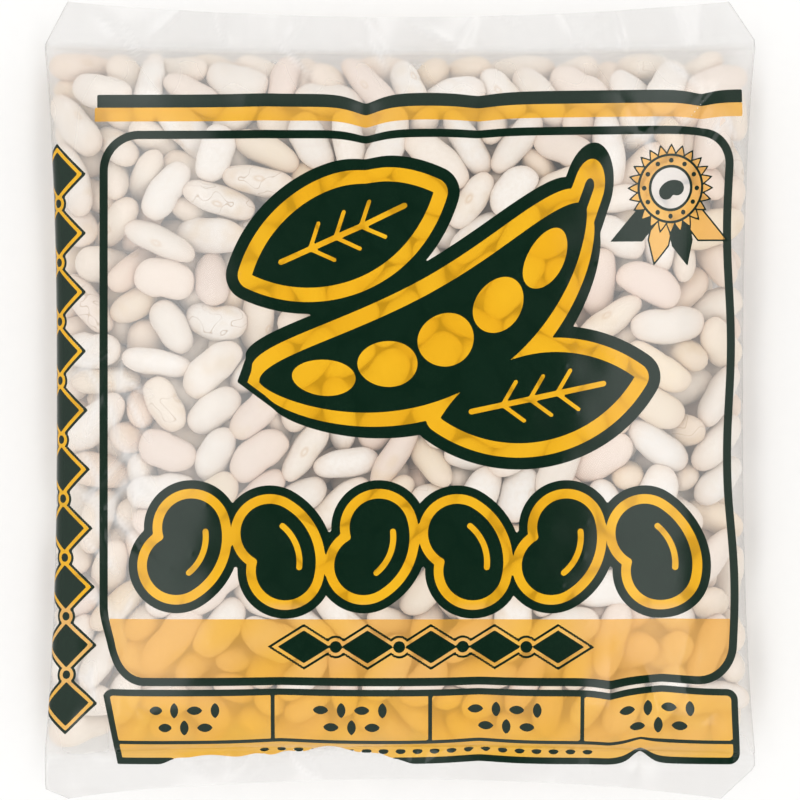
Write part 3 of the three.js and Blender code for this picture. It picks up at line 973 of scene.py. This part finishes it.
def cell_seeds(x, y, middle):
    """Rows of seeds in a cell of the table, lying and upright by turns."""
    seeds = []
    for height, count in SEEDS["rows"]:
        for number, place in enumerate(centred(count)):
            degrees = 90.0 if number % 2 else 0.0
            seeds.append(leaf(x, y, (middle + place * SEEDS["spacing"], height), degrees,
                              SEEDS["half_length"], SEEDS["half_width"]))
    return joined(*seeds)


def lowest_dots(x, y, slope):
    """A row of oval dots where the film turns down to the seal, with their width along it."""
    mx, my = DOTS["middle"]
    places = mx + centred(DOTS["count"]) * DOTS["spacing"]
    return joined(*[ellipse(x - place, (y - my) * slope, DOTS["half_length"], DOTS["half_width"])
                    for place in places])


def table(x, y, slope):
    """The ruled table under the frame: its yellow ground and its dark lines and marks."""
    height = TABLE["top"] - TABLE["bottom"]
    left = TABLE["left"] + TABLE["lean"] * (TABLE["top"] - y) / height
    ground = box(x, y, TABLE["left"], TABLE["right"], TABLE["bottom"], TABLE["top"],
                 TABLE["corner"])
    ground = within(ground, left - x)
    marks = [np.abs(ground) - TABLE["line"], lowest_dots(x, y, slope),
             within(np.abs(y - TABLE["row"]) - TABLE["row_line"], ground)]
    for place in TABLE["dividers"]:
        line = np.abs(x - place) - TABLE["divider_line"]
        marks.append(within(line, ground, TABLE["row"] - y))
    edges = [TABLE["left"], *TABLE["dividers"], TABLE["right"]]
    for low, high in zip(edges, edges[1:]):
        marks.append(cell_seeds(x, y, (low + high) / 2))
    hidden = -tucked_under(x, y)
    return within(ground, hidden), within(joined(*marks), hidden)


STRIPES = {"left": -76.4, "right": 86.6, "top": 77.0, "middle": 73.7, "bottom": 70.2,
           "yellow_out": 0.6}
FRAME = {"left": -74.7, "right": 83.6, "top": 66.8, "bottom": -71.1, "corner": 9.0, "half": 1.05,
         "band_top": -55.2}
# How the printing slants at the top, is pulled in at the lower left and wavers at the right.
SLANT = {"from": -30.0, "over": 110.0, "rise": 1.5, "up": (30.0, 50.0)}
CORNER_PULL = {"size": 2.6, "down": (52.0, 66.0), "left": (55.0, 75.0)}
WAVER = {"size": 0.5, "length": 9.0, "right": (62.0, 78.0), "drift": 1.3, "down": (20.0, 60.0),
         "back": 0.6}
# How far out of a shape its bright line reaches, and its dark line.
OUTLINES = {"emblem": (3.6, 6.6), "row": (2.4, 4.6), "lozenges": (0.8, 1.4), "column": (0.9, 1.6)}


def carried(x, y):
    """Where a point of the film was in the flat artwork, before the folds carried it along."""
    shift = sum(fold["carry"] * fold_share(fold, x, y) for fold in FOLDS)
    slant = SLANT["rise"] * np.clip((x - SLANT["from"]) / SLANT["over"], 0, 1)
    shift = shift + slant * smooth_step(y, *SLANT["up"])
    pull = CORNER_PULL["size"] * smooth_step(-y, *CORNER_PULL["down"])
    pull = pull * smooth_step(-x, *CORNER_PULL["left"])
    waver = WAVER["size"] * np.sin(y / WAVER["length"]) - WAVER["back"]
    waver = waver + WAVER["drift"] * smooth_step(-y, *WAVER["down"])
    return x - pull - waver * smooth_step(x, *WAVER["right"]), y - shift


def outlined(shape, name):
    """The bright line round a shape and the dark line round that."""
    inner, outer = OUTLINES[name]
    return between(shape, 0.0, inner), between(shape, inner, outer)


def artwork(x, y, around, slope):
    """Distances outside the dark green printing and outside the yellow printing, at places seen
    from above, at a distance round the film, where the film is longer by the slope than it looks."""
    x, y = carried(x, y)
    frame_shape = box(x, y, FRAME["left"], FRAME["right"], FRAME["bottom"], FRAME["top"],
                      FRAME["corner"])
    frame_line = np.abs(frame_shape) - FRAME["half"]
    left, right, middle = (STRIPES[part] for part in ("left", "right", "middle"))
    green = [frame_line, box(x, y, left, right, middle, STRIPES["top"])]
    yellow = [box(x, y, left - STRIPES["yellow_out"], right, STRIPES["bottom"], middle)]

    shape, seeds, veins = emblem(x, y)
    bright, dark = outlined(shape, "emblem")
    green += [dark, within(shape, -seeds, -veins)]
    yellow += [bright, seeds, veins]

    row, row_lights = bean_row(x, y)
    bright, dark = outlined(row, "row")
    green += [dark, within(row, -row_lights)]
    yellow += [bright, row_lights]

    lozenges = band_chain(x, y)
    _, line = outlined(lozenges, "lozenges")
    green += [lozenges, line]
    band = within(frame_shape, y - FRAME["band_top"])
    yellow.append(within(band, OUTLINES["row"][1] - row))

    column = side_chain(around, y)
    bright, dark = outlined(column, "column")
    green += [column, dark]
    yellow.append(bright)

    ground, rules = table(x, y, slope)
    green.append(rules)
    yellow.append(ground)
    return joined(*green), within(joined(*yellow), -joined(*green))


def award(x, y, around, slope):
    """The same for the rosette and its ribbons, and for the rosette's cream middle. All of it is
    cut from a finer mesh."""
    x, y = carried(x, y)
    body, marks, open_middle = rosette(x, y)
    yellow_ribbons = ribbons(x, y, "yellow")
    ribbon_edge = between(yellow_ribbons, -RIBBON["rim"], 0.0)
    green = joined(within(body, marks), between(body, 0.0, ROSETTE["rim"]),
                   within(joined(ribbons(x, y, "green"), ribbon_edge), -body))
    yellow = joined(within(body, -marks, -open_middle), within(yellow_ribbons, -body))
    return green, within(yellow, -green), within(open_middle, -green)


def finer_grid(grid, times):
    """A grid of points with more between them, by straight lines."""
    rows, columns = grid.shape[:2]
    at_row = np.linspace(0, rows - 1, (rows - 1) * times + 1)
    at_column = np.linspace(0, columns - 1, (columns - 1) * times + 1)
    low = np.minimum(at_row.astype(int), rows - 2)
    left = np.minimum(at_column.astype(int), columns - 2)
    up, right = (at_row - low)[:, None, None], (at_column - left)[None, :, None]
    below = grid[low][:, left] * (1 - right) + grid[low][:, left + 1] * right
    above = grid[low + 1][:, left] * (1 - right) + grid[low + 1][:, left + 1] * right
    return below * (1 - up) + above * up


def cut_out(points, triangles, outside):
    """The part of a mesh where the points' values are negative, cut along where they are zero."""
    inside = outside[triangles] < 0
    kept = inside.sum(axis=1)
    whole = triangles[kept == 3]

    def rolled(wanted, alone):
        """Triangles with the wanted number of corners inside, turned so that the odd one is first."""
        chosen = triangles[kept == wanted]
        first = np.argmax(inside[kept == wanted] == alone, axis=1)
        return np.stack([chosen[np.arange(len(chosen)), (first + i) % 3] for i in range(3)], axis=1)

    tips = rolled(1, True)
    stumps = rolled(2, False)
    cuts = np.concatenate([tips[:, [0, 1]], tips[:, [0, 2]], stumps[:, [0, 1]], stumps[:, [0, 2]]])
    ordered = np.sort(cuts, axis=1)
    unique, where = np.unique(ordered, axis=0, return_inverse=True)
    where = where.reshape(-1) + len(points)
    one, other = outside[unique[:, 0]], outside[unique[:, 1]]
    share = (one / (one - other))[:, None]
    crossing = points[unique[:, 0]] * (1 - share) + points[unique[:, 1]] * share
    count, more = len(tips), len(stumps)
    tip_b, tip_c = where[:count], where[count:2 * count]
    stump_b, stump_c = where[2 * count:2 * count + more], where[2 * count + more:]
    triangles_out = np.concatenate([
        whole,
        np.stack([tips[:, 0], tip_b, tip_c], axis=1),
        np.stack([stump_b, stumps[:, 1], stumps[:, 2]], axis=1),
        np.stack([stump_b, stumps[:, 2], stump_c], axis=1),
    ])
    used, renumbered = np.unique(triangles_out, return_inverse=True)
    return np.concatenate([points, crossing])[used], renumbered.reshape(-1, 3)


PRINTS = [
    {"design": artwork, "name": "print", "x": (-92.0, 92.0), "y": (-96.0, 96.0), "finer": 2},
    {"design": award, "name": "rosette", "x": (52.0, 84.0), "y": (31.0, 65.0), "finer": 5},
]


# How pale the yellow looks under a painted veil of haze and reflected light: where it turns pale, in
# millimetres down, up or right, and by how much.
PALE = {"band": (50.0, 54.0), "table": (71.0, 74.0), "table_less": 0.4, "stripes": (66.0, 69.0),
        "stripes_share": 0.4, "award_x": (55.0, 58.0), "award_y": (30.0, 34.0), "award_share": 0.9}
CLOUDS = {"least": 0.8, "sides": 0.3, "sides_out": (25.0, 70.0), "size": 0.35, "length": 6.1,
          "sway": 4.0, "gap": 13.0, "gap_sway": 5.0}


def pale_veil(x, y):
    """How pale the yellow ink looks under a painted veil of haze and reflected light: most on the
    band and the rosette, less on the table and the stripes, and not at all on the emblem."""
    low = smooth_step(-y, *PALE["band"]) - PALE["table_less"] * smooth_step(-y, *PALE["table"])
    stripes = PALE["stripes_share"] * smooth_step(y, *PALE["stripes"])
    near_award = smooth_step(x, *PALE["award_x"]) * smooth_step(y, *PALE["award_y"])
    clouds = np.sin(x / CLOUDS["length"] + np.sin(y / CLOUDS["sway"]))
    clouds = CLOUDS["size"] * clouds * np.sin(x / CLOUDS["gap"] - y / CLOUDS["gap_sway"])
    clouds = clouds + CLOUDS["least"] + CLOUDS["sides"] * smooth_step(np.abs(x), *CLOUDS["sides_out"])
    return np.maximum.reduce([low, stripes, PALE["award_share"] * near_award]) * clouds


LEAST_UP = 0.2            # the least that the film is taken to face up


def printable_face(film, top_columns):
    """The film's top as a grid of five values: a place just over it, the distance round the film
    from its middle, and how much longer the film is along Y than it looks from above."""
    over = film[:, :top_columns]
    normals = grid_normals(over)
    steps = np.linalg.norm(np.diff(over, axis=1), axis=2)
    around = np.concatenate([np.zeros((len(over), 1)), np.cumsum(steps, axis=1)], axis=1)
    around = around - around[:, -1:] / 2
    slope = np.hypot(1, normals[..., 1] / np.maximum(LEAST_UP, normals[..., 2]))
    raised = over + normals * INK_HEIGHT
    return np.concatenate([raised, around[..., None], slope[..., None]], axis=2)


def printing_pieces(film, top_columns, materials):
    """The ink, as thin layers of its colours just over the film."""
    x, y = film[:, :top_columns, 0], film[:, :top_columns, 1]
    face = printable_face(film, top_columns)
    for part in PRINTS:
        inside = (x > part["x"][0]) & (x < part["x"][1]) & (y > part["y"][0]) & (y < part["y"][1])
        rows, columns = np.flatnonzero(inside.any(axis=1)), np.flatnonzero(inside.any(axis=0))
        patch = face[rows[0]:rows[-1] + 1, columns[0]:columns[-1] + 1]
        patch = finer_grid(patch, part["finer"])
        quads = grid_faces(*patch.shape[:2], False)
        triangles = np.concatenate([quads[:, [0, 1, 2]], quads[:, [0, 2, 3]]])
        flat = patch.reshape(-1, patch.shape[2])
        layers = part["design"](flat[:, 0], flat[:, 1], flat[:, 3], flat[:, 4])
        for colour, outside in zip(("green", "yellow", "cream"), layers):
            slot = "print_" + colour
            points, faces = cut_out(flat[:, :3], triangles, outside)
            piece = new_piece(part["name"] + "_" + colour, points, [faces], materials[slot])
            add_attribute(piece, "pale_veil", "FLOAT", pale_veil(points[:, 0], points[:, 1]))
            let_light_through(piece)
            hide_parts("bag")


# ======== Materials ========

class Nodes:
    """A material's node tree, with short calls for the nodes used here."""

    def __init__(self, name):
        self.material = bpy.data.materials.new(name)
        self.material.use_nodes = True
        self.tree = self.material.node_tree
        self.tree.nodes.clear()
        self.output = self.tree.nodes.new("ShaderNodeOutputMaterial")

    def add(self, kind, **settings):
        node = self.tree.nodes.new(kind)
        for name, value in settings.items():
            setattr(node, name, value)
        return node

    def link(self, source, target):
        self.tree.links.new(source, target)

    def feed(self, node, name, value):
        """Sets an input of a node to a number or colour, or links it to an output."""
        target = node.inputs[name]
        if isinstance(value, bpy.types.NodeSocket):
            self.link(value, target)
        else:
            target.default_value = value

    def attribute(self, name, output="Fac"):
        return self.add("ShaderNodeAttribute", attribute_name=name).outputs[output]

    def math(self, operation, *values):
        node = self.add("ShaderNodeMath", operation=operation)
        for index, value in enumerate(values):
            self.feed(node, index, value)
        return node.outputs[0]

    def ramp(self, value, low, high, start=0.0, end=1.0):
        """A value carried from one range to another, and kept in it."""
        node = self.add("ShaderNodeMapRange", clamp=True)
        for name, number in (("Value", value), ("From Min", low), ("From Max", high),
                             ("To Min", start), ("To Max", end)):
            self.feed(node, name, number)
        return node.outputs[0]

    def mix(self, share, one, other):
        node = self.add("ShaderNodeMix", data_type="RGBA")
        self.feed(node, 0, share)
        self.feed(node, 6, one)
        self.feed(node, 7, other)
        return node.outputs[2]

    def noise(self, place, scale, detail):
        node = self.add("ShaderNodeTexNoise")
        for name, value in (("Vector", place), ("Scale", scale), ("Detail", detail)):
            self.feed(node, name, value)
        return node.outputs["Fac"]

    def blend_shaders(self, share, one, other):
        node = self.add("ShaderNodeMixShader")
        self.feed(node, 0, share)
        self.link(one, node.inputs[1])
        self.link(other, node.inputs[2])
        return node.outputs[0]

    def finish(self, shader):
        self.link(shader, self.output.inputs["Surface"])
        return self.material


BEAN_COLOURS = {"mottle": (0.73, 0.62, 0.51, 1), "end": (0.77, 0.62, 0.50, 1),
                "stain": (0.68, 0.49, 0.28, 1), "crack": (0.40, 0.25, 0.13, 1),
                "eye": (0.62, 0.42, 0.25, 1)}
# How strong a mark is where it begins and where it is full.
BEAN_SHARES = {"mottle": (0.0, 0.25), "end": (0.0, 0.55), "stain": (0.0, 0.55),
               "crack": (0.0, 0.6), "eye": (0.08, 0.5)}
EYE = {"half_length": 1.5, "half_width": 0.8, "rim": 0.7, "rim_width": 0.6}
PATTERNS = {"shift": 900.0, "patch": 0.16, "mottle": 0.9, "detail": 1.0}
# Where a mark begins and where it is full, by a noise pattern or by millimetres along the bean.
MARKED = {"mottle": (0.35, 0.7), "gloss": (0.3, 0.7), "stain": (0.5, 0.72), "end": (4.5, 9.0),
          "crack": (0.010, 0.002)}
# Which beans have a mark, by the chance of a bean: where it begins and where it is full.
CHOSEN = {"stain": (0.5, 1.0), "crack": (0.93, 0.96), "eye": (0.2, 0.6)}
CRACK_LEVEL = 0.47        # of the patches, along whose edges a skin splits
BEAN_GLOSS = {"specular": 0.4, "roughness": (0.34, 0.5)}


def own_patterns(nodes, place, chance):
    """Two noise patterns, large patches and fine mottles, that differ from bean to bean."""
    shift = nodes.add("ShaderNodeCombineXYZ")
    nodes.feed(shift, "X", nodes.math("MULTIPLY", chance, PATTERNS["shift"]))
    shifted = nodes.add("ShaderNodeVectorMath", operation="ADD")
    nodes.feed(shifted, 0, place)
    nodes.feed(shifted, 1, shift.outputs[0])
    return [nodes.noise(shifted.outputs[0], PATTERNS[name], PATTERNS["detail"])
            for name in ("patch", "mottle")]


def eye_rim(nodes, split):
    """How near a point is to the rim of the bean's eye, from 0 to 1."""
    along = nodes.math("DIVIDE", split.outputs["X"], EYE["half_length"])
    across = nodes.math("DIVIDE", split.outputs["Z"], EYE["half_width"])
    squares = [nodes.math("MULTIPLY", side, side) for side in (along, across)]
    out = nodes.math("POWER", nodes.math("ADD", *squares), 0.5)
    from_rim = nodes.math("ABSOLUTE", nodes.math("SUBTRACT", out, EYE["rim"]))
    on_eye_side = nodes.math("LESS_THAN", split.outputs["Y"], 0.0)
    return nodes.math("MULTIPLY", nodes.ramp(from_rim, EYE["rim_width"], 0.0), on_eye_side)


def bean_material():
    """Cream seed coat with a faint gloss, pinker ends and a small brown eye, with stained patches
    and split skins on some beans."""
    nodes = Nodes("bean_skin")
    place = nodes.attribute("bean_place", "Vector")
    chance = nodes.attribute("bean_chance")
    patch, mottle = own_patterns(nodes, place, chance)
    split = nodes.add("ShaderNodeSeparateXYZ")
    nodes.feed(split, 0, place)
    out = nodes.math("ABSOLUTE", split.outputs["X"])
    from_crack = nodes.math("ABSOLUTE", nodes.math("SUBTRACT", patch, CRACK_LEVEL))
    marks = {
        "mottle": nodes.ramp(mottle, *MARKED["mottle"], *BEAN_SHARES["mottle"]),
        "end": nodes.ramp(out, *MARKED["end"], *BEAN_SHARES["end"]),
        "stain": nodes.ramp(patch, *MARKED["stain"]),
        "crack": nodes.ramp(from_crack, *MARKED["crack"]),
        "eye": eye_rim(nodes, split),
    }
    for name, chances in CHOSEN.items():
        share = nodes.ramp(chance, *chances, *BEAN_SHARES[name])
        marks[name] = nodes.math("MULTIPLY", marks[name], share)
    colour = nodes.attribute("bean_tint", "Color")
    for name, share in marks.items():
        colour = nodes.mix(share, colour, BEAN_COLOURS[name])

    shader = nodes.add("ShaderNodeBsdfPrincipled")
    nodes.feed(shader, "Base Color", colour)
    nodes.feed(shader, "Roughness", nodes.ramp(mottle, *MARKED["gloss"], *BEAN_GLOSS["roughness"]))
    nodes.feed(shader, "Specular IOR Level", BEAN_GLOSS["specular"])
    return nodes.finish(shader.outputs[0])


FILM = {"body": (0.77, 0.758, 0.745, 1), "mirror": 0.034, "mirror_power": 5.0, "roughness": 0.14}


def glossed(nodes, shader):
    """A shader under the smooth face of film, which mirrors a little and more at a slant."""
    mirror = nodes.add("ShaderNodeBsdfGlossy")
    nodes.feed(mirror, "Roughness", FILM["roughness"])
    slant = nodes.add("ShaderNodeLayerWeight")
    grazing = nodes.math("POWER", slant.outputs["Facing"], FILM["mirror_power"])
    sheen = nodes.math("MULTIPLY_ADD", grazing, 1 - FILM["mirror"], FILM["mirror"])
    return nodes.blend_shaders(sheen, shader, mirror.outputs[0])


def film_material():
    """Clear film that turns hazy and pale where it is bunched and sealed, partly as painted
    reflection, and where it is creased as painted glints.
    """
    nodes = Nodes("clear_film")
    body = nodes.add("ShaderNodeBsdfDiffuse")
    nodes.feed(body, "Color", FILM["body"])
    clear = nodes.add("ShaderNodeBsdfTransparent")
    hazy = nodes.blend_shaders(nodes.attribute("haze"), clear.outputs[0], body.outputs[0])
    return nodes.finish(glossed(nodes, hazy))


# An ink seen on its own, what it lets through, how much of it is see-through, and its pale look under
# a painted veil of haze and reflected light.
INKS = {
    "green": {"solid": (0.003, 0.016, 0.008, 1), "filter": (0.05, 0.12, 0.08, 1),
              "see_through": 0.04},
    "yellow": {"solid": (0.87, 0.43, 0.013, 1), "filter": (0.93, 0.60, 0.03, 1),
               "pale_solid": (0.83, 0.42, 0.105, 1), "pale_filter": (0.92, 0.66, 0.25, 1),
               "see_through": 0.5},
    "cream": {"solid": (0.74, 0.71, 0.69, 1), "filter": (0.93, 0.91, 0.89, 1),
              "see_through": 0.4},
}


def ink_material(name, ink):
    """Ink on film, with some of the beans showing through it. One with a pale look turns to it where
    a painted veil of haze and reflected light lies over it."""
    nodes = Nodes(name)
    shaders = {"solid": nodes.add("ShaderNodeBsdfDiffuse"),
               "filter": nodes.add("ShaderNodeBsdfTransparent")}
    for look, shader in shaders.items():
        colour = ink[look]
        if "pale_" + look in ink:
            colour = nodes.mix(nodes.attribute("pale_veil"), colour, ink["pale_" + look])
        nodes.feed(shader, "Color", colour)
    layers = [shader.outputs[0] for shader in shaders.values()]
    return nodes.finish(glossed(nodes, nodes.blend_shaders(ink["see_through"], *layers)))


FLOOR = {"half_size": 3.0, "height": -0.0002, "grain": 300.0, "grain_detail": 3.0,
         "dark": (0.86, 0.86, 0.855, 1), "pale": (0.88, 0.88, 0.875, 1), "roughness": 0.9,
         "specular": 0.1}


def floor_material():
    nodes = Nodes("floor_paper")
    place = nodes.add("ShaderNodeTexCoord").outputs["Object"]
    grain = nodes.noise(place, FLOOR["grain"], FLOOR["grain_detail"])
    shader = nodes.add("ShaderNodeBsdfPrincipled")
    nodes.feed(shader, "Base Color", nodes.mix(grain, FLOOR["dark"], FLOOR["pale"]))
    nodes.feed(shader, "Roughness", FLOOR["roughness"])
    nodes.feed(shader, "Specular IOR Level", FLOOR["specular"])
    return nodes.finish(shader.outputs[0])


# ======== The studio ========

def make_floor():
    size = FLOOR["half_size"]
    mesh = bpy.data.meshes.new("floor")
    corners = [(-size, -size, 0), (size, -size, 0), (size, size, 0), (-size, size, 0)]
    mesh.from_pydata(corners, [], [(0, 1, 2, 3)])
    mesh.materials.append(floor_material())
    floor = bpy.data.objects.new("floor", mesh)
    bpy.context.scene.collection.objects.link(floor)
    floor.location.z = FLOOR["height"]


def make_camera():
    camera = bpy.data.cameras.new("camera")
    camera.sensor_width = SENSOR
    camera.lens = SENSOR * (CAMERA_HEIGHT - SIDE_HEIGHT) / VIEW_WIDTH
    camera.clip_end = FARTHEST_SEEN
    eye = bpy.data.objects.new("camera", camera)
    eye.location = (0, 0, CAMERA_HEIGHT * MM)
    bpy.context.scene.collection.objects.link(eye)
    bpy.context.scene.camera = eye


PANEL = {"height": 1.0, "inner": 0.23, "outer": 0.56, "length": 2.2, "watts": 5.2}


def make_lights():
    """Two long soft panels, one on each side of the camera, under a sky that is dark overhead."""
    for side in (-1, 1):
        light = bpy.data.lights.new("panel", "AREA")
        light.shape = "RECTANGLE"
        light.size = PANEL["outer"] - PANEL["inner"]
        light.size_y = PANEL["length"]
        light.energy = PANEL["watts"]
        panel = bpy.data.objects.new("panel", light)
        panel.location = (side * (PANEL["inner"] + PANEL["outer"]) / 2, 0, PANEL["height"])
        panel.visible_camera = False
        bpy.context.scene.collection.objects.link(panel)


SKY = {"From Min": 0.74, "From Max": 0.90, "To Min": 1.0, "To Max": 0.02}
SKY_COLOUR = (1.0, 0.995, 0.985, 1)


def make_sky():
    """A sky that is bright low down and dark overhead."""
    world = bpy.data.worlds.new("sky")
    world.use_nodes = True
    tree = world.node_tree
    tree.nodes.clear()
    place = tree.nodes.new("ShaderNodeTexCoord")
    split = tree.nodes.new("ShaderNodeSeparateXYZ")
    level = tree.nodes.new("ShaderNodeMapRange")
    for name, value in SKY.items():
        level.inputs[name].default_value = value
    light = tree.nodes.new("ShaderNodeBackground")
    light.inputs["Color"].default_value = SKY_COLOUR
    output = tree.nodes.new("ShaderNodeOutputWorld")
    tree.links.new(place.outputs["Generated"], split.inputs[0])
    tree.links.new(split.outputs["Z"], level.inputs["Value"])
    tree.links.new(level.outputs[0], light.inputs["Strength"])
    tree.links.new(light.outputs[0], output.inputs["Surface"])
    bpy.context.scene.world = world
    bpy.context.scene.view_settings.view_transform = "Standard"


# ======== The bag ========

def make_bag():
    rings, top_columns, body = smooth_film()
    container = Container(rings[body][::WALL_ROW_STEP, ::WALL_COLUMN_STEP])
    packing = Packing(container)
    packing.run()
    depth = container.depth(packing.centres)
    near_top = (depth < TOP_LAYER["depth"]) & (packing.centres[:, 2] > TOP_LAYER["height"])
    skin = bean_material()
    # The top layer's beans keep their colours; those under it are given painted shade.
    upper = bean_piece("beans_upper", packing, np.flatnonzero(near_top), FINE_BEAN, FULL_LIGHT,
                       skin)
    lower = bean_piece("beans_lower", packing, np.flatnonzero(~near_top), COARSE_BEAN, PAINTED_SHADE_BELOW, skin)
    film, crease = make_film(rings, top_columns, body, bean_tree([upper, lower]))
    film_piece(film, crease, film_material())
    inks = {"print_" + colour: ink_material("print_" + colour, ink) for colour, ink in INKS.items()}
    printing_pieces(film, top_columns, inks)


make_camera()
make_lights()
make_sky()
make_floor()
make_bag()
